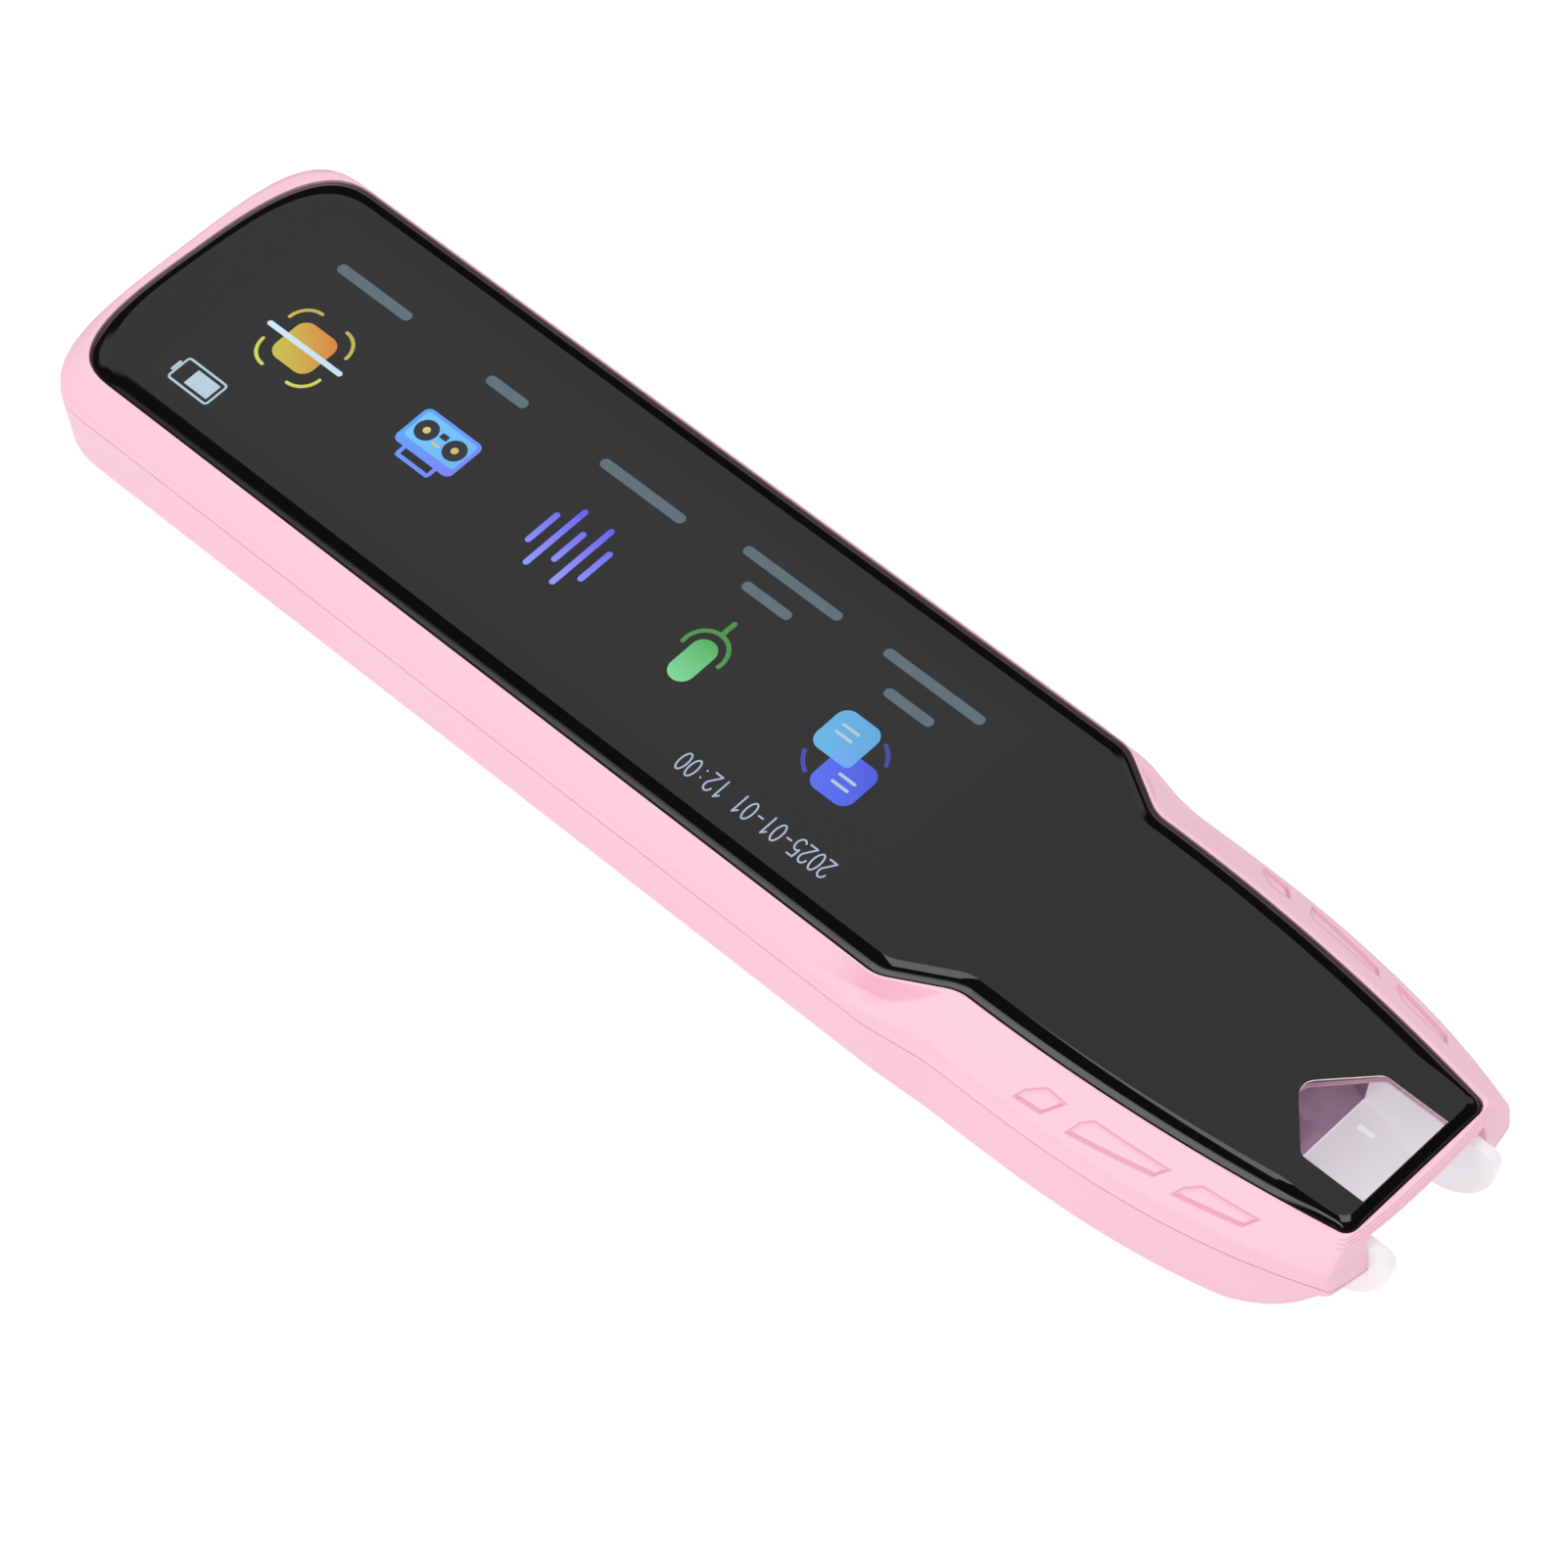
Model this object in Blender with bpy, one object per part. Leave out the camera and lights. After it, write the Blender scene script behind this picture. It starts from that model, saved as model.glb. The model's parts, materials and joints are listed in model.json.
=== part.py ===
# A scanning pen: a slim case with a bar display, a clear scan window in its nose and a sprung scan hood.
# Lengths are in metres. The pen lies on its back with +Z up, its nose towards +X and its far side at +Y.
# The origin lies below the middle of the pen, on the plane that it rests on.

import math

import bmesh
import bpy
from mathutils import Vector

# Overall case
BODY_LENGTH = 0.1492
FOOT_REACH = 0.00175
RIM_HEIGHT = 0.0129
PARTING_HEIGHT = 0.0078
CREASE_RISE = 0.00135
CREASE_HEIGHT = PARTING_HEIGHT + CREASE_RISE
NOSE_X = (BODY_LENGTH - FOOT_REACH) / 2
TAIL_X = NOSE_X - BODY_LENGTH
TOP_WALL = 0.0012
BOTTOM_WALL = 0.0019
FLOOR = 0.0016
BOTTOM_ROUNDING = 0.0019
INNER_ROUNDING = 0.0012
CREASE_NOSE_RISE = 0.00075

# Half widths of the case on its flat stretch, where the neck begins and at the nose face
RIM_HALVES = (0.0152, 0.0120, 0.0084)
CREASE_HALVES = (0.0170, 0.0156, 0.0104)
PARTING_HALVES = (0.0171, 0.0163, 0.0103)
BELLY_HALVES = (0.0171, 0.0168, 0.0102)
GLASS_HALVES = (0.0150, 0.0116, 0.00785)

# Plan of the case: a straight stretch, a shoulder that steps in, then a neck that curves in to the nose.
# The powers are those of the tail's curve and of the neck's taper.
NECK_LENGTH = 0.0395
SHOULDER_LENGTH = 0.0082
SHOULDER_BEND_SHARE = 0.25
RIM_POWERS = (3.4, 2.0)
CASE_POWERS = (4.4, 2.8)
GLASS_POWERS = (3.1, 2.0)
NECK_SHARES = (0.12, 0.26, 0.40, 0.54, 0.68, 0.84, 1.0)
SHOULDER_SHARES = (0.16, 0.34, 0.66, 0.84, 1.0)
NOSE_FRONT_SHARES = (0.45, 0.78)
NOSE_CROWN_POWER = 3.0
TAIL_STEPS = 9
CORNER_STEPS = 3

# How each outline ends: depth of its tail curve, corner radius at the nose, crown of the nose face, and how
# far the tail leans back towards its far side
CASE_ROUNDINGS = (0.0090, 0.0005, 0.0011, 0.0004)
RIM_ROUNDINGS = (0.0082, 0.0006, 0.0007, 0.0004)
GLASS_ROUNDINGS = (0.0074, 0.0012, 0.0, 0.00095)

# Ends of each level, measured in from the tail end and the nose face
RIM_ENDS = (0.0021, 0.0006)
CREASE_ENDS = (0.0002, 0.0)
BELLY_ENDS = (0.0003, 0.0)
GLASS_TAIL_INSET = 0.0030
GLASS_NOSE_INSET = 0.00125

# How the flank bulges a little between the crease and the rim
FLANK_RISE_SHARES = (0.40, 0.72)
FLANK_OUT_SHARES = (0.64, 0.33)
FLANK_END_SHARES = (0.87, 0.50)

# Fits
SEAT_GAP = 0.00015
SLIDE_GAP = 0.0002
PIECE_GAP = 0.0003
OVERRUN = 0.002

# Front glass and the ledge that carries it
GLASS_THICKNESS = 0.0011
GLASS_RISE = 0.00065
GLASS_SIDE_RISE = 0.00015
GLASS_BEVEL = 0.00115
GLASS_RECESS_GAP = 0.0001
ADHESIVE_THICKNESS = 0.00025
ADHESIVE_WIDTH = 0.0012
ADHESIVE_EDGE = 0.0003
LEDGE_THICKNESS = 0.00075
GLASS_BASE = RIM_HEIGHT + GLASS_RISE - GLASS_THICKNESS
GLASS_TOP = RIM_HEIGHT + GLASS_RISE
LEDGE_TOP = GLASS_BASE - ADHESIVE_THICKNESS - 2 * SEAT_GAP
LEDGE_BASE = LEDGE_TOP - LEDGE_THICKNESS

# Scan window in the ledge, a house outline with its base at the nose
WINDOW_BASE_INSET = 0.0025
WINDOW_SHOULDER_INSET = 0.00925
WINDOW_APEX_INSET = 0.0141
WINDOW_HALF = 0.0050

# Display
LCD_TAIL_INSET = 0.0094
LCD_NOSE_INSET = 0.0532
LCD_HALF = 0.0127
LCD_THICKNESS = 0.0012
LCD_GAP = 0.0002
BACKLIGHT_THICKNESS = 0.0014
BACKLIGHT_EDGE = 0.0004
LCD_TOP = GLASS_BASE - LCD_GAP
LCD_BASE = LCD_TOP - LCD_THICKNESS
BACKLIGHT_TOP = LCD_BASE - LCD_GAP
LCD_NOSE_X = NOSE_X - LCD_NOSE_INSET
LCD_TAIL_X = TAIL_X + LCD_TAIL_INSET

# Nose mouth: the notch between its two legs, and the sweep that cuts the underside back
NOTCH_HALF = 0.00705
NOTCH_STRIP_STEP = 0.00015
LIP_STEP_INSET = 0.0009
LIP_STEP_HEIGHT = 0.0118
MOUTH_FLOOR_INSET = 0.0082
SWEEP_INSETS = (0.0105, 0.0083, 0.0064, 0.0046, 0.0029, 0.0016, 0.0007, 0.0004)
SWEEP_HEIGHTS = (0.0, 0.0006, 0.0015, 0.0027, 0.0043, 0.0058, 0.0075, 0.0090)
NOSE_WALL = 0.0016
NOSE_FLOOR_LIFT = 0.0008
TONGUE_HEIGHT = 0.0010

# Scan hood
HOOD_HALF = NOTCH_HALF - SEAT_GAP
HOOD_WALL = 0.0012
HOOD_TOP = 0.0105
HOOD_BASE = FLOOR + PIECE_GAP
HOOD_BACK_INSET = 0.0123
HOOD_BACK_TOP_INSET = 0.0146
HOOD_BACK_WALL = 0.0013
HOOD_SILL = 0.0054
HOOD_LIP_INSET = 0.00885
HOOD_LIP_HEIGHT = 0.0039
HOOD_LIP_THICKNESS = 0.0010
HOOD_TRAVEL = 0.0012
EAR_REACH = 0.0014
FOOT_CENTRE_INSET = 0.0057
FOOT_CENTRE_HEIGHT = 0.0089
FOOT_LOW = 0.0002
FOOT_REAR_INSET = 0.0062
FOOT_HEEL_INSET = 0.0052
FOOT_POWER = 1.7
FOOT_STEPS = 8
FOOT_TOP_ROUNDING = 0.0012

# Tinted plate in the hood's back wall
PLATE_HALF = 0.0042
PLATE_THICKNESS = 0.0008
PLATE_SILL = 0.0002

# Return springs and their stems
STEM_Y = 0.0052
STEM_HEIGHT = 0.0032
STEM_RADIUS = 0.0005
STEM_LENGTH = 0.0022
SPRING_RADIUS = 0.00095
SPRING_WIRE = 0.00015
SPRING_TURNS = 4
SPRING_LENGTH = 0.0043
BRACKET_THICKNESS = 0.0010
BRACKET_HALF = 0.0013
BRACKET_HEIGHT = 0.0044

# Trigger switch behind the hood
TRIGGER_LENGTH = 0.0050
TRIGGER_HALF = 0.0024
TRIGGER_HEIGHT = 0.0025
TRIGGER_BASE = FLOOR + PIECE_GAP
TRIGGER_TOP = TRIGGER_BASE + TRIGGER_HEIGHT
TRIGGER_REACH = 0.0027
PLUNGER_LENGTH = 0.0042
PLUNGER_HALF = 0.0005
PLUNGER_BORE = 0.0031

# Light board, leds, lens and camera
LIGHT_BOARD_CLEARANCE = 0.0004
BOARD_THIN = 0.0008
LIGHT_BOARD_HALF = 0.0086
LIGHT_BOARD_LEDGE_GAP = 0.00035
LIGHT_BOARD_BASE = TRIGGER_TOP + PIECE_GAP
LIGHT_BOARD_TOP = LEDGE_BASE - LIGHT_BOARD_LEDGE_GAP
LIGHT_BOARD_HALF_HEIGHT = (LIGHT_BOARD_TOP - LIGHT_BOARD_BASE) / 2
LED_SIZE = 0.0018
LED_THICKNESS = 0.0006
LED_Y = 0.0062
LENS_HEIGHT = LIGHT_BOARD_BASE + LIGHT_BOARD_HALF_HEIGHT
BARREL_RADIUS = 0.0022
BARREL_BORE = 0.0018
BARREL_LENGTH = 0.0050
LENS_RADIUS = 0.00165
LENS_THICKNESS = 0.0009
LENS_DEPTH = 0.0004
LENS_SHAPE_SHARES = ((0.0, 0.35), (0.12, 0.75), (0.3, 1.0), (0.7, 1.0), (0.88, 0.75), (1.0, 0.35))
HOUSING_LENGTH = 0.0035
HOUSING_HALF = 0.0040
HOUSING_EDGE = 0.0002
HOUSING_HALF_HEIGHT = LIGHT_BOARD_HALF_HEIGHT - HOUSING_EDGE
HOUSING_OFFSET = 0.0016
CAMERA_BOARD_HALF = 0.0050
CAMERA_BOARD_EDGE = 0.00005
CAMERA_BOARD_HALF_HEIGHT = LIGHT_BOARD_HALF_HEIGHT + CAMERA_BOARD_EDGE
FLEX_THICKNESS = 0.0002
FLEX_HALF = 0.0025
FLEX_DROP = 0.0017
FLEX_LENGTH = 0.0060

# Main board and what it carries
BOARD_TOP = 0.0077
BOARD_BASE = BOARD_TOP - BOARD_THIN
BOARD_HALF = 0.0134
BOARD_NOSE_INSET = 0.0262
BOARD_TAIL_INSET = 0.0056
SHIELD_LENGTH = 0.0190
SHIELD_HALF = 0.0075
SHIELD_HEIGHT = 0.0011
SHIELD_NOSE_INSET = 0.0302
CHIP_HEIGHT = 0.0010
CHIP_NAMES = ("memory_chip", "wireless_chip", "power_chip")
CHIP_PLACE_SHARES = ((0.46, -0.42), (0.60, 0.30), (0.80, -0.20))
CHIP_SIZES = ((0.0100, 0.0086), (0.0117, 0.0112), (0.0070, 0.0080))

# Bosses and board screws
BOSS_RADIUS = 0.0015
BOSS_Y = 0.0117
BOSS_TAIL_INSET = 0.0195
BOSS_NOSE_INSET = 0.0557
SCREW_RADIUS = 0.0006
SCREW_HEAD_RADIUS = 0.0012
SCREW_HEAD_HEIGHT = 0.0006
SCREW_LENGTH = 0.0045
SCREW_CLEARANCE = 0.0002

# Battery
BATTERY_NOSE_INSET = 0.0597
BATTERY_SPEAKER_GAP = 0.0050
BATTERY_HALF = 0.0095
BATTERY_THICKNESS = 0.0042
PAD_THICKNESS = 0.0004
PAD_EDGE = 0.0010

# Loudspeaker and the holes under it
SPEAKER_LENGTH = 0.0140
SPEAKER_HALF = 0.0050
SPEAKER_HEIGHT = 0.0028
SPEAKER_TAIL_INSET = 0.0105
GASKET_WIDTH = 0.0008
GRILLE_HOLE_RADIUS = 0.0005
GRILLE_PITCH = 0.0022
GRILLE_COLUMNS = 4
GRILLE_ROWS = 3

# Microphone
MIC_TAIL_INSET = 0.0090
MIC_Y = 0.0105
MIC_HALF = 0.0016
MIC_HEIGHT = 0.0010
MIC_PORT_RADIUS = 0.0005

# Charging socket in the tail
SOCKET_HALF = 0.00447
SOCKET_HALF_HEIGHT = 0.00158
SOCKET_LENGTH = 0.0073
SOCKET_WALL = 0.0003
SOCKET_DEPTH = 0.0062
SOCKET_TAIL_INSET = 0.0006
SOCKET_HEIGHT = 0.00505
SOCKET_GAP = 0.0002
TONGUE_HALF = 0.0033
TONGUE_THICKNESS = 0.0007
TONGUE_LENGTH = 0.0050

# Power button on the far side
BUTTON_TAIL_INSET = 0.0515
BUTTON_X = TAIL_X + BUTTON_TAIL_INSET
BUTTON_HEIGHT = 0.0049
BUTTON_HALF_LENGTH = 0.0047
BUTTON_HALF_WIDTH = 0.0012
BUTTON_FLANGE = 0.0007
BUTTON_FLANGE_THICKNESS = 0.0008
BUTTON_TRAVEL = 0.0004
NUB_HALF = 0.0010
NUB_LENGTH = 0.0004
TACT_HALF = 0.0022
TACT_DEPTH = 0.0024
TACT_BASE = 0.0038
TACT_PLUNGER_HALF = 0.0008
TACT_REACH = 0.0006
TACT_PLUNGER_LENGTH = 0.0016
TACT_BORE = 0.0016

# Wireless aerial on the case wall
AERIAL_LENGTH = 0.0180
AERIAL_HEIGHT = 0.0030
AERIAL_NOSE_INSET = 0.0700

ROUND_STEPS = 20
SMALL_ROUND_STEPS = 10
WIRE_STEPS = 6
COIL_STEPS = 10
SMOOTH_ANGLE = math.radians(35)


def clear_scene():
    for obj in list(bpy.data.objects):
        bpy.data.objects.remove(obj, do_unlink=True)


def finish(name, colour, roughness, metallic=0.0, transmission=0.0):
    material = bpy.data.materials.new(name)
    material.use_nodes = True
    shader = material.node_tree.nodes["Principled BSDF"]
    shader.inputs["Base Color"].default_value = (*colour, 1.0)
    shader.inputs["Roughness"].default_value = roughness
    shader.inputs["Metallic"].default_value = metallic
    shader.inputs["Transmission Weight"].default_value = transmission
    return material


def piece(name, shape, material=None, smooth=False, origin=(0, 0, 0)):
    # The object's origin goes to the given point, and its mesh stays where it was built.
    bmesh.ops.translate(shape, verts=shape.verts, vec=-Vector(origin))
    mesh = bpy.data.meshes.new(name)
    shape.to_mesh(mesh)
    shape.free()
    if smooth:
        mesh.shade_smooth()
        mesh.set_sharp_from_angle(angle=SMOOTH_ANGLE)
    obj = bpy.data.objects.new(name, mesh)
    obj.location = origin
    bpy.context.scene.collection.objects.link(obj)
    if material:
        mesh.materials.append(material)
    return obj


def combine(target, operation, shape, label):
    # The helper is hidden from the render, and the Boolean stays live on its target.
    helper = piece(target.name + "_" + label, shape)
    helper.hide_render = True
    helper.display_type = "WIRE"
    boolean = target.modifiers.new(label, "BOOLEAN")
    boolean.operation = operation
    boolean.object = helper


def carve(target, shape, label):
    combine(target, "DIFFERENCE", shape, label)


def join(target, shape, label):
    combine(target, "UNION", shape, label)


def loft(loops):
    # A closed solid through loops of equal point count, with a flat cap on the first and the last.
    shape = bmesh.new()
    rings = [[shape.verts.new(point) for point in loop] for loop in loops]
    shape.faces.new(list(reversed(rings[0])))
    shape.faces.new(rings[-1])
    add_bands(shape, rings)
    bmesh.ops.recalc_face_normals(shape, faces=shape.faces)
    return shape


def ring_loft(loops):
    # A closed tube through loops of equal point count, whose last loop meets its first.
    shape = bmesh.new()
    rings = [[shape.verts.new(point) for point in loop] for loop in loops]
    add_bands(shape, rings + rings[:1])
    bmesh.ops.recalc_face_normals(shape, faces=shape.faces)
    return shape


def add_bands(shape, rings):
    for low, high in zip(rings, rings[1:]):
        for here in range(len(low)):
            after = (here + 1) % len(low)
            shape.faces.new((low[here], low[after], high[after], high[here]))


def box(low, high):
    (x0, y0, z0), (x1, y1, z1) = low, high
    return loft([[(x0, y0, z), (x1, y0, z), (x1, y1, z), (x0, y1, z)] for z in (z0, z1)])


def prism_y(outline, half, centre=0.0):
    # An (x, z) outline carried across in y.
    return loft([[(x, centre + side * half, z) for x, z in outline] for side in (1, -1)])


def prism_z(outline, low, high):
    return loft([[(x, y, z) for x, y in outline] for z in (low, high)])


def circle(radius, steps, phase=0.0):
    turns = [2 * math.pi * (step + phase) / steps for step in range(steps)]
    return [(radius * math.cos(turn), radius * math.sin(turn)) for turn in turns]


def rod_x(start, stop, y, z, radius, steps=SMALL_ROUND_STEPS):
    return loft([[(x, y + a, z + b) for a, b in circle(radius, steps)] for x in (start, stop)])


def rod_z(low, high, x, y, radius, steps=SMALL_ROUND_STEPS):
    return loft([[(x + a, y + b, z) for a, b in circle(radius, steps)] for z in (low, high)])


def ease(share):
    # A straight ramp from 0 to 1 with rounded ends.
    share = min(max(share, 0.0), 1.0)
    bend = SHOULDER_BEND_SHARE
    slope = 1 / (1 - bend)
    if share < bend:
        return slope * share**2 / (2 * bend)
    if share > 1 - bend:
        return 1 - slope * (1 - share) ** 2 / (2 * bend)
    return slope * (share - bend / 2)


def plan(halves, ends, roundings, powers, inset=0.0):
    depth, corner, crown, lean = roundings
    tail_power, taper_power = powers
    return {
        "halves": tuple(half - inset for half in halves),
        "tail": TAIL_X + ends[0] + inset,
        "nose": NOSE_X - ends[1] - inset,
        "depth": depth,
        "tail_power": tail_power,
        "corner": corner,
        "crown": crown,
        "lean": lean,
        "taper_power": taper_power,
    }


def taper(x, power):
    # 1 at the nose face, falling to 0 where the neck ends.
    along = min(max((NOSE_X - x) / NECK_LENGTH, 0.0), 1.0)
    return (1 - along) ** power


def half_width(x, form):
    main, neck, nose = form["halves"]
    narrow = neck - (neck - nose) * taper(x, form["taper_power"])
    return narrow + (main - narrow) * ease((NOSE_X - NECK_LENGTH - x) / SHOULDER_LENGTH)


def outline(form):
    # The whole outline seen from above, counter-clockwise from the middle of the nose face.
    corner = form["corner"]
    corner_x = form["nose"] - form["crown"] - corner
    corner_y = half_width(corner_x, form) - corner
    front = [(form["nose"], corner_y * share) for share in (0.0, *NOSE_FRONT_SHARES)]
    for step in range(CORNER_STEPS + 1):
        angle = math.pi / 2 * step / CORNER_STEPS
        front.append((form["nose"] + corner * (math.cos(angle) - 1), corner_y + corner * math.sin(angle)))
    reach = front[-1][1]
    points = [(x - form["crown"] * (y / reach) ** NOSE_CROWN_POWER, y) for x, y in front]
    neck_x = NOSE_X - NECK_LENGTH
    sides = [corner_x + (neck_x - corner_x) * share for share in NECK_SHARES]
    sides += [neck_x - SHOULDER_LENGTH * share for share in SHOULDER_SHARES]
    points += [(x, half_width(x, form)) for x in sides]
    depth, bend = form["depth"], 2 / form["tail_power"]
    for step in range(TAIL_STEPS):
        angle = math.pi / 2 * step / TAIL_STEPS
        back = depth * (1 - math.sin(angle) ** bend)
        points.append((form["tail"] + back, form["halves"][0] * math.cos(angle) ** bend))
    points.append((form["tail"], 0.0))
    points += [(x, -y) for x, y in reversed(points[1:-1])]
    tail_start = form["tail"] + depth
    lean, half = form["lean"], form["halves"][0]
    return [(x + lean * y / half if x <= tail_start else x, y) for x, y in points]


def level(z, form, nose_rise=0.0):
    # One outline at height z, which climbs by the rise towards the nose.
    power = form["taper_power"]
    return [(x, y, z + nose_rise * taper(x, power)) for x, y in outline(form)]


def rim(inset=0.0):
    return plan(RIM_HALVES, RIM_ENDS, RIM_ROUNDINGS, RIM_POWERS, inset)


def crease(inset=0.0):
    return plan(CREASE_HALVES, CREASE_ENDS, CASE_ROUNDINGS, CASE_POWERS, inset)


def parting(inset=0.0):
    return plan(PARTING_HALVES, (0.0, 0.0), CASE_ROUNDINGS, CASE_POWERS, inset)


def belly(inset=0.0):
    return plan(BELLY_HALVES, BELLY_ENDS, CASE_ROUNDINGS, CASE_POWERS, inset)


def glass_plan(inset=0.0):
    ends = (GLASS_TAIL_INSET, GLASS_NOSE_INSET)
    return plan(GLASS_HALVES, ends, GLASS_ROUNDINGS, GLASS_POWERS, inset)


def between(rim_values, crease_values, out):
    return tuple(low + (high - low) * out for low, high in zip(rim_values, crease_values))


def flank(number, inset=0.0):
    # The form between the crease and the rim.
    out = FLANK_OUT_SHARES[number]
    halves = between(RIM_HALVES, CREASE_HALVES, out)
    ends = between(RIM_ENDS, CREASE_ENDS, FLANK_END_SHARES[number])
    roundings = between(RIM_ROUNDINGS, CASE_ROUNDINGS, out)
    powers = between(RIM_POWERS, CASE_POWERS, out)
    return plan(halves, ends, roundings, powers, inset)


def flank_level(number, inset=0.0):
    share = FLANK_RISE_SHARES[number]
    height = CREASE_HEIGHT + (RIM_HEIGHT - CREASE_HEIGHT) * share
    return level(height, flank(number, inset), CREASE_NOSE_RISE * (1 - share))


def crease_level(inset=0.0):
    return level(CREASE_HEIGHT, crease(inset), CREASE_NOSE_RISE)


def sweep_wedge(back, lift):
    # Everything in front of the sweep under the nose, moved back along x and up by the given amounts.
    high = PARTING_HEIGHT + TONGUE_HEIGHT + 2 * OVERRUN
    reach = NOSE_X + MOUTH_FLOOR_INSET
    curve = [(NOSE_X - inset - back, z + lift) for inset, z in zip(SWEEP_INSETS, SWEEP_HEIGHTS)]
    points = [(curve[0][0] - OVERRUN, -OVERRUN)] + curve
    points += [(curve[-1][0], high), (reach, high), (reach, -OVERRUN)]
    return prism_y(points, 2 * PARTING_HALVES[0])


def window_outline():
    base = NOSE_X - WINDOW_BASE_INSET
    shoulder = NOSE_X - WINDOW_SHOULDER_INSET
    apex = NOSE_X - WINDOW_APEX_INSET
    half = WINDOW_HALF
    return [(base, -half), (base, half), (shoulder, half), (apex, 0.0), (shoulder, -half)]


def top_shell(material):
    low, high = level(PARTING_HEIGHT, parting()), level(RIM_HEIGHT, rim())
    shape = loft([low, crease_level(), flank_level(0), flank_level(1), high])
    shell = piece("top_shell", shape, material, smooth=True)
    hollow = loft(
        [
            level(PARTING_HEIGHT - OVERRUN, parting(TOP_WALL)),
            level(PARTING_HEIGHT, parting(TOP_WALL)),
            crease_level(TOP_WALL),
            level(LEDGE_BASE, flank(1, TOP_WALL)),
        ]
    )
    carve(shell, hollow, "hollow")
    recess = prism_z(outline(glass_plan(-GLASS_RECESS_GAP)), LEDGE_TOP, RIM_HEIGHT + OVERRUN)
    carve(shell, recess, "glass_recess")
    display = box(
        (LCD_TAIL_X - PIECE_GAP, -LCD_HALF - PIECE_GAP, LEDGE_BASE - OVERRUN),
        (LCD_NOSE_X + PIECE_GAP, LCD_HALF + PIECE_GAP, LEDGE_TOP + OVERRUN),
    )
    carve(shell, display, "display_opening")
    carve(shell, prism_z(window_outline(), LEDGE_BASE - OVERRUN, LEDGE_TOP + OVERRUN), "window")
    back, step, reach = NOSE_X - 2 * NOSE_WALL, NOSE_X - LIP_STEP_INSET, NOSE_X + OVERRUN
    low, high = PARTING_HEIGHT - OVERRUN, LEDGE_BASE - NOTCH_STRIP_STEP
    profile = [(back, low), (back, high), (step, high)]
    profile += [(step, LIP_STEP_HEIGHT), (reach, LIP_STEP_HEIGHT), (reach, low)]
    carve(shell, prism_y(profile, NOTCH_HALF), "notch")


def rounded_bottom(form, inset, radius, base):
    # Levels of a bottom edge that is rounded through a quarter turn, from the flat underside up.
    levels = []
    for step in range(CORNER_STEPS, -1, -1):
        angle = math.pi / 2 * step / CORNER_STEPS
        height = base + radius * (1 - math.sin(angle))
        levels.append(level(height, form(inset + radius * (1 - math.cos(angle)))))
    return levels


def grille_centres():
    middle = TAIL_X + SPEAKER_TAIL_INSET + SPEAKER_LENGTH / 2
    for column in range(GRILLE_COLUMNS):
        for row in range(GRILLE_ROWS):
            yield (
                middle + (column - (GRILLE_COLUMNS - 1) / 2) * GRILLE_PITCH,
                (row - (GRILLE_ROWS - 1) / 2) * GRILLE_PITCH,
            )


def rectangle(half_length, half_height):
    corners = ((-1, -1), (1, -1), (1, 1), (-1, 1))
    return [(half_length * a, half_height * b) for a, b in corners]


def stadium(half, half_height):
    # A slot outline with round ends, in (y, z).
    points = []
    steps = SMALL_ROUND_STEPS // 2
    for side, start in ((1, -math.pi / 2), (-1, math.pi / 2)):
        for step in range(steps + 1):
            angle = start + math.pi * step / steps
            y = side * (half - half_height) + half_height * math.cos(angle)
            points.append((y, half_height * math.sin(angle)))
    return points


def slot_loop(x, half, half_height):
    return [(x, y, SOCKET_HEIGHT + z) for y, z in stadium(half, half_height)]


def button_loop(y, half_length, half_width):
    return [(BUTTON_X + a, y, BUTTON_HEIGHT - b) for a, b in rectangle(half_length, half_width)]


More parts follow.
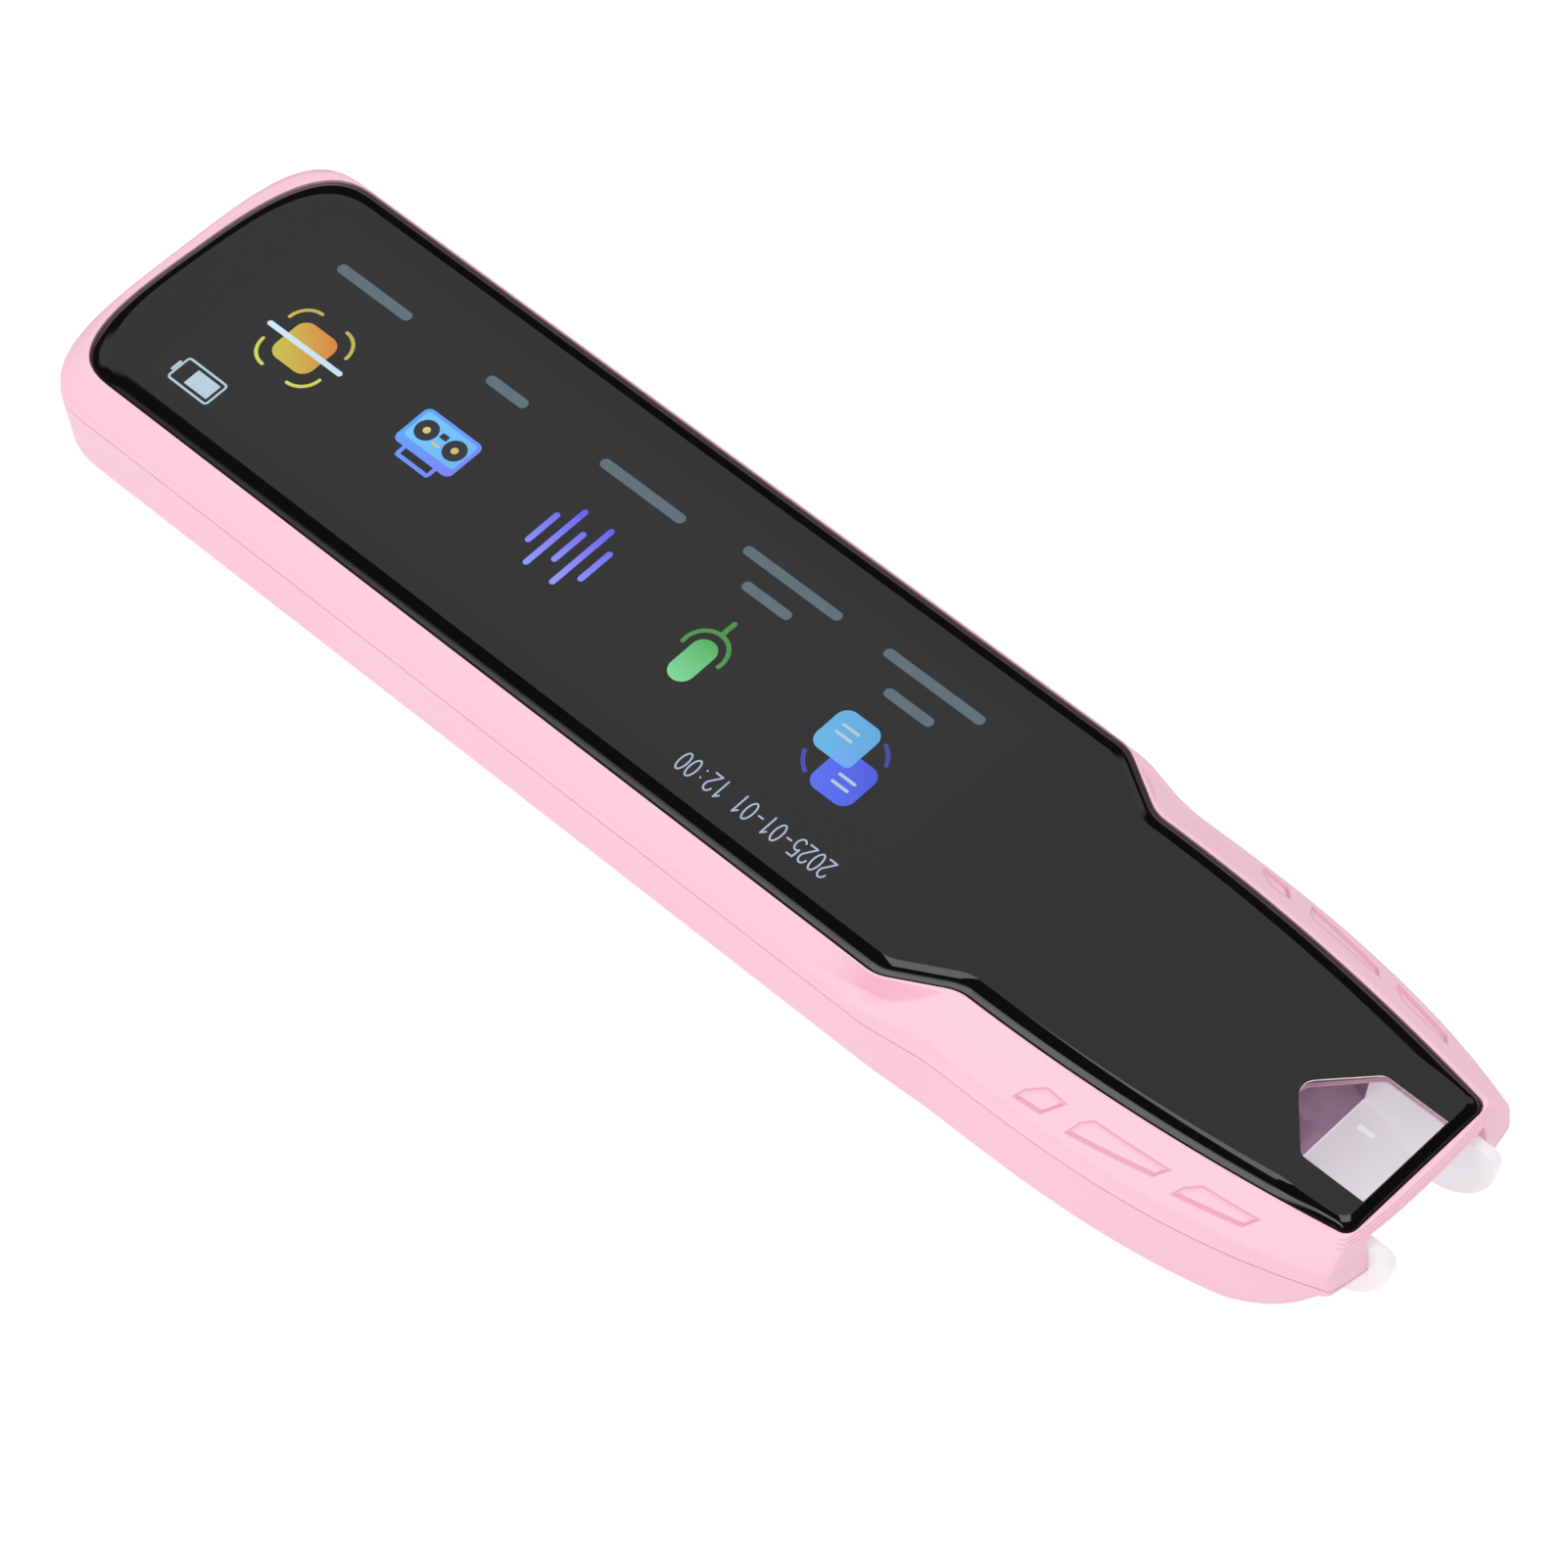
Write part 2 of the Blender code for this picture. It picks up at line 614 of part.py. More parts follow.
def bottom_shell(material):
    low_levels = rounded_bottom(belly, 0.0, BOTTOM_ROUNDING, 0.0)
    shape = loft(
        low_levels
        + [
            level(PARTING_HEIGHT - SEAT_GAP, parting()),
            level(PARTING_HEIGHT - SEAT_GAP, parting(TOP_WALL + SEAT_GAP)),
            level(PARTING_HEIGHT + TONGUE_HEIGHT, crease(TOP_WALL + SEAT_GAP)),
        ]
    )
    shell = piece("bottom_shell", shape, material, smooth=True)
    carve(shell, sweep_wedge(0.0, 0.0), "sweep")
    hollow = loft(
        rounded_bottom(belly, BOTTOM_WALL, INNER_ROUNDING, FLOOR)
        + [
            level(PARTING_HEIGHT - SEAT_GAP, parting(BOTTOM_WALL)),
            level(PARTING_HEIGHT + TONGUE_HEIGHT, crease(BOTTOM_WALL)),
            level(PARTING_HEIGHT + TONGUE_HEIGHT + OVERRUN, crease(BOTTOM_WALL)),
        ]
    )
    cavity = piece("bottom_shell_cavity", hollow)
    cavity.hide_render = True
    cavity.display_type = "WIRE"
    carve(cavity, sweep_wedge(NOSE_WALL, NOSE_FLOOR_LIFT), "front")
    cut = shell.modifiers.new("cavity", "BOOLEAN")
    cut.operation = "DIFFERENCE"
    cut.object = cavity
    top = PARTING_HEIGHT + TONGUE_HEIGHT + OVERRUN
    mouth_back = NOSE_X - SWEEP_INSETS[0] - NOSE_WALL
    mouth = box((mouth_back, -NOTCH_HALF, FLOOR), (NOSE_X + OVERRUN, NOTCH_HALF, top))
    carve(shell, mouth, "mouth")
    gate_back = NOSE_X - MOUTH_FLOOR_INSET
    gate = box((gate_back, -NOTCH_HALF, -OVERRUN), (NOSE_X + OVERRUN, NOTCH_HALF, FLOOR + OVERRUN))
    carve(shell, gate, "mouth_floor")
    button_hole = loft(
        [
            button_loop(y, BUTTON_HALF_LENGTH + SLIDE_GAP, BUTTON_HALF_WIDTH + SLIDE_GAP)
            for y in (PARTING_HALVES[0] - BOTTOM_WALL - OVERRUN, PARTING_HALVES[0] + OVERRUN)
        ]
    )
    carve(shell, button_hole, "button_hole")
    socket_hole = loft(
        [
            slot_loop(x, SOCKET_HALF + SOCKET_GAP, SOCKET_HALF_HEIGHT + SOCKET_GAP)
            for x in (TAIL_X - OVERRUN, TAIL_X + BOTTOM_WALL + OVERRUN)
        ]
    )
    carve(shell, socket_hole, "socket_hole")
    for number, (x, y) in enumerate(grille_centres()):
        hole = rod_z(-OVERRUN, FLOOR + OVERRUN, x, y, GRILLE_HOLE_RADIUS, WIRE_STEPS)
        carve(shell, hole, "grille_hole_%d" % number)
    port = rod_z(-OVERRUN, FLOOR + OVERRUN, TAIL_X + MIC_TAIL_INSET, MIC_Y, MIC_PORT_RADIUS, WIRE_STEPS)
    carve(shell, port, "microphone_port")
    for number, (x, y) in enumerate(boss_centres()):
        boss = rod_z(FLOOR / 2, BOARD_BASE - SEAT_GAP, x, y, BOSS_RADIUS)
        join(shell, boss, "boss_%d" % number)
        pilot = rod_z(
            BOARD_TOP - SCREW_LENGTH - PIECE_GAP, BOARD_BASE + OVERRUN, x, y, SCREW_RADIUS + SCREW_CLEARANCE
        )
        carve(shell, pilot, "pilot_%d" % number)
    for side in (-1, 1):
        join(shell, spring_bracket(side), "spring_bracket_%d" % (side + 1))
        join(shell, ear_stop(side), "ear_stop_%d" % (side + 1))


def boss_centres():
    for x in (TAIL_X + BOSS_TAIL_INSET, NOSE_X - BOSS_NOSE_INSET):
        for side in (-1, 1):
            yield x, side * BOSS_Y


def spring_bracket(side):
    back = hood_rear_x() - SPRING_LENGTH - 2 * SEAT_GAP
    return box(
        (back - BRACKET_THICKNESS, side * STEM_Y - BRACKET_HALF, FLOOR / 2),
        (back, side * STEM_Y + BRACKET_HALF, BRACKET_HEIGHT),
    )


def ear_stop(side):
    # A rib in front of each ear of the hood, which stops it from sliding out.
    front = NOSE_X - HOOD_BACK_INSET + PIECE_GAP
    near, far = NOTCH_HALF, HOOD_HALF + EAR_REACH
    low, high = sorted((side * near, side * far))
    return box((front, low, FLOOR / 2), (front + BRACKET_THICKNESS, high, HOOD_SILL))


def front_glass(material):
    shape = loft(
        [
            level(GLASS_BASE, glass_plan()),
            level(RIM_HEIGHT + GLASS_SIDE_RISE, glass_plan()),
            level(GLASS_TOP - GLASS_SIDE_RISE, glass_plan(GLASS_BEVEL / 2)),
            level(GLASS_TOP, glass_plan(GLASS_BEVEL)),
        ]
    )
    piece("front_glass", shape, material, smooth=True)


def glass_adhesive(material):
    low = LEDGE_TOP + SEAT_GAP
    high = low + ADHESIVE_THICKNESS
    outer, inner = glass_plan(ADHESIVE_EDGE), glass_plan(ADHESIVE_EDGE + ADHESIVE_WIDTH)
    shape = ring_loft([level(low, outer), level(high, outer), level(high, inner), level(low, inner)])
    piece("glass_adhesive", shape, material)


def display_parts(panel_material, light_material, flex_material):
    panel = box((LCD_TAIL_X, -LCD_HALF, LCD_BASE), (LCD_NOSE_X, LCD_HALF, LCD_TOP))
    piece("lcd_panel", panel, panel_material)
    edge = BACKLIGHT_EDGE
    light = box(
        (LCD_TAIL_X + edge, -LCD_HALF + edge, BACKLIGHT_TOP - BACKLIGHT_THICKNESS),
        (LCD_NOSE_X - edge, LCD_HALF - edge, BACKLIGHT_TOP),
    )
    piece("lcd_backlight", light, light_material)
    # The flex leaves the panel's nose end, drops past the backlight and turns back to the board.
    start = LCD_NOSE_X + PIECE_GAP
    turn = start + FLEX_DROP
    high, low = LEDGE_BASE - PIECE_GAP, BOARD_TOP + SEAT_GAP
    thick = FLEX_THICKNESS
    points = [(start, high - thick), (start, high), (turn, high), (turn, low)]
    points += [(start, low), (start, low + thick), (turn - thick, low + thick), (turn - thick, high - thick)]
    piece("lcd_flex", prism_y(points, 2 * FLEX_HALF), flex_material)


def hood_rear_x():
    return NOSE_X - HOOD_BACK_INSET - HOOD_BACK_WALL


def back_lean():
    # How far the hood's back wall leans back for each metre of height above its sill.
    return (HOOD_BACK_TOP_INSET - HOOD_BACK_INSET) / (HOOD_TOP - HOOD_SILL)


def foot_front():
    # The front of a foot, from its top corner down round to its lowest point.
    reach = FOOT_CENTRE_INSET + FOOT_REACH
    drop = FOOT_CENTRE_HEIGHT - FOOT_LOW
    points = []
    for step in range(CORNER_STEPS + 1):
        angle = math.pi / 2 * (1 - step / CORNER_STEPS)
        x = NOSE_X + FOOT_REACH - FOOT_TOP_ROUNDING * (1 - math.cos(angle))
        points.append((x, HOOD_TOP - FOOT_TOP_ROUNDING * (1 - math.sin(angle))))
    for step in range(1, FOOT_STEPS + 1):
        angle = math.pi / 2 * step / FOOT_STEPS
        x = NOSE_X - FOOT_CENTRE_INSET + reach * math.cos(angle) ** (2 / FOOT_POWER)
        points.append((x, FOOT_CENTRE_HEIGHT - drop * math.sin(angle) ** (2 / FOOT_POWER)))
    return points


def hood_profile():
    back = NOSE_X - HOOD_BACK_INSET - HOOD_BACK_WALL
    top_back = NOSE_X - HOOD_BACK_TOP_INSET - HOOD_BACK_WALL
    points = foot_front()
    points += [(NOSE_X - FOOT_REAR_INSET, FOOT_LOW), (NOSE_X - FOOT_HEEL_INSET, HOOD_BASE)]
    points += [(back, HOOD_BASE), (back, HOOD_SILL), (top_back, HOOD_TOP)]
    return points


def scan_hood(material):
    hood = piece("scan_hood", prism_y(hood_profile(), HOOD_HALF), material, smooth=True)
    inner = HOOD_HALF - HOOD_WALL
    reach = NOSE_X + FOOT_REACH + OVERRUN
    back, lip = NOSE_X - HOOD_BACK_INSET, NOSE_X - HOOD_LIP_INSET
    top = HOOD_TOP + OVERRUN
    top_back = back - back_lean() * (top - HOOD_SILL)
    chamber = [(top_back, top), (reach, top), (reach, FOOT_LOW - OVERRUN), (lip, FOOT_LOW - OVERRUN)]
    chamber += [(lip, HOOD_LIP_HEIGHT), (back, HOOD_SILL)]
    carve(hood, prism_y(chamber, inner), "chamber")
    under = [(back, HOOD_SILL - HOOD_LIP_THICKNESS), (lip + OVERRUN, HOOD_LIP_HEIGHT - HOOD_LIP_THICKNESS)]
    under += [(lip + OVERRUN, FOOT_LOW - OVERRUN), (back, FOOT_LOW - OVERRUN)]
    carve(hood, prism_y(under, inner), "under_lip")
    sill = HOOD_SILL + PLATE_SILL
    cut = 2 * HOOD_BACK_WALL
    low_x, high_x = back - back_lean() * PLATE_SILL, top_back
    slot = [(low_x - cut, sill), (high_x - cut, top), (high_x + cut, top), (low_x + cut, sill)]
    carve(hood, prism_y(slot, PLATE_HALF), "plate_slot")
    ears = box(
        (back - HOOD_BACK_WALL, -HOOD_HALF - EAR_REACH, HOOD_BASE), (back, HOOD_HALF + EAR_REACH, HOOD_SILL)
    )
    join(hood, ears, "ears")
    stem_end, stem_root = back - HOOD_BACK_WALL - STEM_LENGTH, back - HOOD_BACK_WALL / 2
    for side in (-1, 1):
        stem = rod_x(stem_end, stem_root, side * STEM_Y, STEM_HEIGHT, STEM_RADIUS)
        join(hood, stem, "stem_%d" % (side + 1))


def camera_window(material):
    # A tinted plate that leans back with the hood's wall and fills its slot.
    sill = HOOD_SILL + PLATE_SILL + SEAT_GAP
    inset = (HOOD_BACK_WALL - PLATE_THICKNESS) / 2
    back = NOSE_X - HOOD_BACK_INSET - inset
    low_x = back - back_lean() * (sill - HOOD_SILL)
    high_x = back - back_lean() * (HOOD_TOP - HOOD_SILL)
    thick = PLATE_THICKNESS
    points = [(low_x, sill), (low_x - thick, sill), (high_x - thick, HOOD_TOP), (high_x, HOOD_TOP)]
    piece("camera_window", prism_y(points, PLATE_HALF - SEAT_GAP), material)


def return_spring(name, side, material):
    # A round wire wound as a helix along x, closed at both ends.
    count = SPRING_TURNS * COIL_STEPS
    start = hood_rear_x() - SEAT_GAP - SPRING_WIRE
    pitch = (SPRING_LENGTH - 2 * SPRING_WIRE) / count
    loops = []
    for step in range(count + 1):
        turn = 2 * math.pi * step / COIL_STEPS
        out_y, out_z = math.cos(turn), math.sin(turn)
        x = start - step * pitch
        loop = []
        for a, b in circle(SPRING_WIRE, WIRE_STEPS):
            radius = SPRING_RADIUS + a
            loop.append((x + b, side * STEM_Y + radius * out_y, STEM_HEIGHT + radius * out_z))
        loops.append(loop)
    shape = loft(loops)
    piece(name, shape, material, smooth=True)


def trigger_front_x():
    return hood_rear_x() - PIECE_GAP - TRIGGER_REACH


def trigger_switch(body_material, plunger_material):
    front = trigger_front_x()
    body = box((front - TRIGGER_LENGTH, -TRIGGER_HALF, TRIGGER_BASE), (front, TRIGGER_HALF, TRIGGER_TOP))
    switch = piece("trigger_switch", body, body_material)
    bore = PLUNGER_HALF + SLIDE_GAP
    middle = TRIGGER_BASE + TRIGGER_HEIGHT / 2
    carve(
        switch,
        box((front - PLUNGER_BORE, -2 * bore, middle - bore), (front + OVERRUN, 2 * bore, middle + bore)),
        "bore",
    )
    tip = front + TRIGGER_REACH
    plunger = box(
        (tip - PLUNGER_LENGTH, -2 * bore + SLIDE_GAP, middle - PLUNGER_HALF),
        (tip, 2 * bore - SLIDE_GAP, middle + PLUNGER_HALF),
    )
    piece("trigger_plunger", plunger, plunger_material, origin=(tip, 0.0, middle))


def light_front_x():
    # The leds keep clear of the hood's leaning back wall at the end of its travel.
    top_inset = HOOD_BACK_TOP_INSET + HOOD_BACK_WALL
    return NOSE_X - top_inset - HOOD_TRAVEL - LIGHT_BOARD_CLEARANCE


def light_board(board_material, led_material):
    face = light_front_x() - LED_THICKNESS - SEAT_GAP
    board = box(
        (face - BOARD_THIN, -LIGHT_BOARD_HALF, LIGHT_BOARD_BASE), (face, LIGHT_BOARD_HALF, LIGHT_BOARD_TOP)
    )
    plate = piece("light_board", board, board_material)
    hole = rod_x(
        face - BOARD_THIN - OVERRUN, face + OVERRUN, 0.0, LENS_HEIGHT, BARREL_RADIUS + PIECE_GAP, ROUND_STEPS
    )
    carve(plate, hole, "lens_hole")
    for name, side in (("scan_led_near", -1), ("scan_led_far", 1)):
        led = box(
            (face + SEAT_GAP, side * LED_Y - LED_SIZE / 2, LENS_HEIGHT - LED_SIZE / 2),
            (face + SEAT_GAP + LED_THICKNESS, side * LED_Y + LED_SIZE / 2, LENS_HEIGHT + LED_SIZE / 2),
        )
        piece(name, led, led_material)


def lens_ring(x, radius):
    return [(x, a, LENS_HEIGHT + b) for a, b in circle(radius, ROUND_STEPS)]


def lens_barrel(barrel_material, lens_material):
    front = light_front_x()
    back = front - BARREL_LENGTH
    corners = ((back, BARREL_RADIUS), (front, BARREL_RADIUS), (front, BARREL_BORE), (back, BARREL_BORE))
    tube = ring_loft([lens_ring(x, radius) for x, radius in corners])
    piece("lens_barrel", tube, barrel_material, smooth=True)
    rear = front - LENS_DEPTH - LENS_THICKNESS
    loops = [lens_ring(rear + LENS_THICKNESS * along, LENS_RADIUS * out) for along, out in LENS_SHAPE_SHARES]
    piece("lens_element", loft(loops), lens_material, smooth=True)


def camera_parts(housing_material, board_material, flex_material):
    front = light_front_x() - LED_THICKNESS - SEAT_GAP - BOARD_THIN - HOUSING_OFFSET
    back = front - HOUSING_LENGTH
    shape = box(
        (back, -HOUSING_HALF, LENS_HEIGHT - HOUSING_HALF_HEIGHT),
        (front, HOUSING_HALF, LENS_HEIGHT + HOUSING_HALF_HEIGHT),
    )
    housing = piece("camera_housing", shape, housing_material)
    bore = rod_x(back - OVERRUN, front + OVERRUN, 0.0, LENS_HEIGHT, BARREL_RADIUS + SEAT_GAP, ROUND_STEPS)
    carve(housing, bore, "bore")
    face = back - PIECE_GAP
    board = box(
        (face - BOARD_THIN, -CAMERA_BOARD_HALF, LENS_HEIGHT - CAMERA_BOARD_HALF_HEIGHT),
        (face, CAMERA_BOARD_HALF, LENS_HEIGHT + CAMERA_BOARD_HALF_HEIGHT),
    )
    piece("camera_board", board, board_material)
    # The flex drops down the back of the camera board and runs to the main board.
    start = face - BOARD_THIN - SEAT_GAP
    thick = FLEX_THICKNESS
    high, low = LENS_HEIGHT + CAMERA_BOARD_HALF_HEIGHT / 2, BOARD_TOP + SEAT_GAP
    stop = NOSE_X - BOARD_NOSE_INSET - FLEX_LENGTH / 2
    points = [(start - thick, high), (start, high), (start, low), (stop, low)]
    points += [(stop, low + thick), (start - thick, low + thick)]
    piece("camera_flex", prism_y(points, FLEX_HALF), flex_material)


def main_board(board_material, shield_material, chip_material):
    nose = NOSE_X - BOARD_NOSE_INSET
    tail = TAIL_X + BOARD_TAIL_INSET
    plate = box((tail, -BOARD_HALF, BOARD_BASE), (nose, BOARD_HALF, BOARD_TOP))
    board = piece("main_board", plate, board_material)
    for number, (x, y) in enumerate(boss_centres()):
        hole = rod_z(BOARD_BASE - OVERRUN, BOARD_TOP + OVERRUN, x, y, SCREW_RADIUS + SCREW_CLEARANCE)
        carve(board, hole, "screw_hole_%d" % number)
    front = NOSE_X - SHIELD_NOSE_INSET
    low = BOARD_TOP + SEAT_GAP
    shield = box((front - SHIELD_LENGTH, -SHIELD_HALF, low), (front, SHIELD_HALF, low + SHIELD_HEIGHT))
    piece("processor_shield", shield, shield_material)
    length = nose - tail
    for name, (along, across), (long, wide) in zip(CHIP_NAMES, CHIP_PLACE_SHARES, CHIP_SIZES):
        x, y = nose - length * along, BOARD_HALF * across
        chip = box((x - long / 2, y - wide / 2, low), (x + long / 2, y + wide / 2, low + CHIP_HEIGHT))
        piece(name, chip, chip_material)


def board_screws(material):
    bottom = BOARD_TOP - SCREW_LENGTH
    head = BOARD_TOP + SEAT_GAP
    top = head + SCREW_HEAD_HEIGHT
    rings = [(bottom, SCREW_RADIUS), (head, SCREW_RADIUS)]
    rings += [(head, SCREW_HEAD_RADIUS), (top, SCREW_HEAD_RADIUS)]
    for number, (x, y) in enumerate(boss_centres(), 1):
        loops = [[(x + a, y + b, z) for a, b in circle(radius, SMALL_ROUND_STEPS)] for z, radius in rings]
        piece("board_screw_%d" % number, loft(loops), material, smooth=True)


def battery(cell_material, pad_material):
    nose = NOSE_X - BATTERY_NOSE_INSET
    tail = TAIL_X + SPEAKER_TAIL_INSET + SPEAKER_LENGTH + BATTERY_SPEAKER_GAP
    pad_low = FLOOR + SEAT_GAP
    edge = PAD_EDGE
    pad = box(
        (tail + edge, -BATTERY_HALF + edge, pad_low),
        (nose - edge, BATTERY_HALF - edge, pad_low + PAD_THICKNESS),
    )
    piece("battery_pad", pad, pad_material)
    low = pad_low + PAD_THICKNESS + SEAT_GAP
    cell = box((tail, -BATTERY_HALF, low), (nose, BATTERY_HALF, low + BATTERY_THICKNESS))
    piece("battery_cell", cell, cell_material)


def loudspeaker(speaker_material, gasket_material):
    tail = TAIL_X + SPEAKER_TAIL_INSET
    low = FLOOR + SEAT_GAP
    foam = GASKET_WIDTH
    loops = []
    for z, inset in ((low, 0.0), (low + PAD_THICKNESS, 0.0), (low + PAD_THICKNESS, foam), (low, foam)):
        x0, x1, half = tail + inset, tail + SPEAKER_LENGTH - inset, SPEAKER_HALF - inset
        loops.append([(x0, -half, z), (x1, -half, z), (x1, half, z), (x0, half, z)])
    piece("speaker_gasket", ring_loft(loops), gasket_material)
    base = low + PAD_THICKNESS + SEAT_GAP
    speaker = box((tail, -SPEAKER_HALF, base), (tail + SPEAKER_LENGTH, SPEAKER_HALF, base + SPEAKER_HEIGHT))
    piece("loudspeaker", speaker, speaker_material)


def microphone(can_material, boot_material):
    x = TAIL_X + MIC_TAIL_INSET
    top = BOARD_BASE - SEAT_GAP
    can = box((x - MIC_HALF, MIC_Y - MIC_HALF, top - MIC_HEIGHT), (x + MIC_HALF, MIC_Y + MIC_HALF, top))
    piece("microphone", can, can_material)
    low, high = FLOOR + SEAT_GAP, top - MIC_HEIGHT - SEAT_GAP
    loops = []
    for z, radius in ((low, MIC_HALF), (high, MIC_HALF), (high, MIC_PORT_RADIUS), (low, MIC_PORT_RADIUS)):
        loops.append([(x + a, MIC_Y + b, z) for a, b in circle(radius, SMALL_ROUND_STEPS)])
    piece("microphone_boot", ring_loft(loops), boot_material, smooth=True)


def charging_socket(material):
    mouth = TAIL_X + SOCKET_TAIL_INSET
    back = mouth + SOCKET_LENGTH
    inner, inner_height = SOCKET_HALF - SOCKET_WALL, SOCKET_HALF_HEIGHT - SOCKET_WALL
    shape = loft(
        [
            slot_loop(back, SOCKET_HALF, SOCKET_HALF_HEIGHT),
            slot_loop(mouth, SOCKET_HALF, SOCKET_HALF_HEIGHT),
            slot_loop(mouth, inner, inner_height),
            slot_loop(mouth + SOCKET_DEPTH, inner, inner_height),
        ]
    )
    socket = piece("charging_socket", shape, material, smooth=True)
    tongue = box(
        (mouth + SOCKET_DEPTH - TONGUE_LENGTH, -TONGUE_HALF, SOCKET_HEIGHT - TONGUE_THICKNESS / 2),
        (mouth + SOCKET_DEPTH + SOCKET_WALL, TONGUE_HALF, SOCKET_HEIGHT + TONGUE_THICKNESS / 2),
    )
    join(socket, tongue, "contact_tongue")


def power_button(button_material, switch_material, plunger_material):
    face = PARTING_HALVES[0]
    wall = PARTING_HALVES[0] - BOTTOM_WALL - PIECE_GAP
    flange = wall - BUTTON_FLANGE_THICKNESS
    nub = flange - NUB_LENGTH
    wide, high = BUTTON_HALF_LENGTH + BUTTON_FLANGE, BUTTON_HALF_WIDTH + BUTTON_FLANGE
    shape = loft(
        [
            button_loop(nub, NUB_HALF, NUB_HALF),
            button_loop(flange, NUB_HALF, NUB_HALF),
            button_loop(flange, wide, high),
            button_loop(wall, wide, high),
            button_loop(wall, BUTTON_HALF_LENGTH, BUTTON_HALF_WIDTH),
            button_loop(face, BUTTON_HALF_LENGTH, BUTTON_HALF_WIDTH),
        ]
    )
    piece("power_button", shape, button_material, origin=(BUTTON_X, face, BUTTON_HEIGHT))
    tip = nub - PIECE_GAP
    front = tip - TACT_REACH
    body = box(
        (BUTTON_X - TACT_HALF, front - TACT_DEPTH, TACT_BASE),
        (BUTTON_X + TACT_HALF, front, BOARD_BASE - SEAT_GAP),
    )
    switch = piece("power_switch", body, switch_material)
    bore = TACT_PLUNGER_HALF + SLIDE_GAP
    hole = box(
        (BUTTON_X - bore, front - TACT_BORE, BUTTON_HEIGHT - bore),
        (BUTTON_X + bore, front + OVERRUN, BUTTON_HEIGHT + bore),
    )
    carve(switch, hole, "bore")
    half = TACT_PLUNGER_HALF
    plunger = box(
        (BUTTON_X - half, tip - TACT_PLUNGER_LENGTH, BUTTON_HEIGHT - half),
        (BUTTON_X + half, tip, BUTTON_HEIGHT + half),
    )
    piece("power_plunger", plunger, plunger_material, origin=(BUTTON_X, tip, BUTTON_HEIGHT))


def aerial(material):
    # A stuck-on strip that stands against the near wall, beside the board's upper face.
    wall = PARTING_HALVES[0] - BOTTOM_WALL - SEAT_GAP
    nose = NOSE_X - AERIAL_NOSE_INSET
    low = FLOOR + INNER_ROUNDING
    strip = box(
        (nose - AERIAL_LENGTH, -wall, low), (nose, -wall + FLEX_THICKNESS, low + AERIAL_HEIGHT)
    )
    piece("wireless_aerial", strip, material)


def build():
    clear_scene()
    pink = finish("pink_plastic", (0.90, 0.52, 0.66), 0.32)
    black_glass = finish("printed_glass", (0.035, 0.033, 0.034), 0.06)
    milky = finish("milky_plastic", (0.86, 0.83, 0.88), 0.28)
    violet = finish("tinted_plate", (0.20, 0.12, 0.22), 0.08, transmission=0.4)
    clear = finish("lens_glass", (0.75, 0.80, 0.90), 0.02, transmission=0.9)
    green = finish("board_green", (0.03, 0.16, 0.07), 0.45)
    tin = finish("tinned_steel", (0.62, 0.62, 0.60), 0.35, metallic=1.0)
    steel = finish("spring_steel", (0.50, 0.50, 0.50), 0.25, metallic=1.0)
    black = finish("black_plastic", (0.03, 0.03, 0.03), 0.5)
    amber = finish("flex_film", (0.42, 0.20, 0.03), 0.35)
    foam = finish("foam", (0.05, 0.05, 0.05), 0.9)
    foil = finish("battery_foil", (0.55, 0.56, 0.58), 0.3, metallic=0.8)
    white = finish("white_plastic", (0.85, 0.85, 0.82), 0.4)
    panel = finish("lcd_glass", (0.06, 0.06, 0.07), 0.1)
    top_shell(pink)
    bottom_shell(pink)
    front_glass(black_glass)
    glass_adhesive(foam)
    display_parts(panel, white, amber)
    scan_hood(milky)
    camera_window(violet)
    return_spring("return_spring_near", -1, steel)
    return_spring("return_spring_far", 1, steel)
    trigger_switch(black, white)
    light_board(green, white)
    lens_barrel(black, clear)
    camera_parts(black, green, amber)
    main_board(green, tin, black)
    board_screws(steel)
    battery(foil, foam)
    loudspeaker(black, foam)
    microphone(tin, foam)
    charging_socket(tin)
    power_button(pink, tin, white)
    aerial(amber)


build()
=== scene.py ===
import json
import math

import bmesh
import bpy
import numpy as np
from mathutils import Euler, Matrix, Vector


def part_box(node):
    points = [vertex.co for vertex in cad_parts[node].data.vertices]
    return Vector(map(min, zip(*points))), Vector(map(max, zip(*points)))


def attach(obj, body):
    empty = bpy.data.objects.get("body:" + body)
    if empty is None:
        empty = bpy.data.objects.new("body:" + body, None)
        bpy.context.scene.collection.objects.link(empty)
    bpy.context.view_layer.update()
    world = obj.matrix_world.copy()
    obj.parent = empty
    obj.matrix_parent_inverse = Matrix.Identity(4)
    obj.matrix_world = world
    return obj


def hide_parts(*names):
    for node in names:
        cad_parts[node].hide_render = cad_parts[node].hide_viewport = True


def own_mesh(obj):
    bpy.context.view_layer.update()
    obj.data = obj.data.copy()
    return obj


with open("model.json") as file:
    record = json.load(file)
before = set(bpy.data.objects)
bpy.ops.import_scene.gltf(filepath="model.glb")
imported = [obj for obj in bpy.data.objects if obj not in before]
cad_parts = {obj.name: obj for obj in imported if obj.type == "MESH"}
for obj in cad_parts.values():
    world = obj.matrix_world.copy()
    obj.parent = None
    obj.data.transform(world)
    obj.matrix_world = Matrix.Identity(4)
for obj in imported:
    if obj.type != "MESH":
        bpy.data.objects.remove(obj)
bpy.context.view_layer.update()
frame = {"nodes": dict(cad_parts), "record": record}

scene = bpy.context.scene
nodes = frame["nodes"]
mm = 0.001
print("frame loaded,", len(nodes), "nodes")


def addObject(name, data):
    obj = bpy.data.objects.new(name, data)
    scene.collection.objects.link(obj)
    return obj


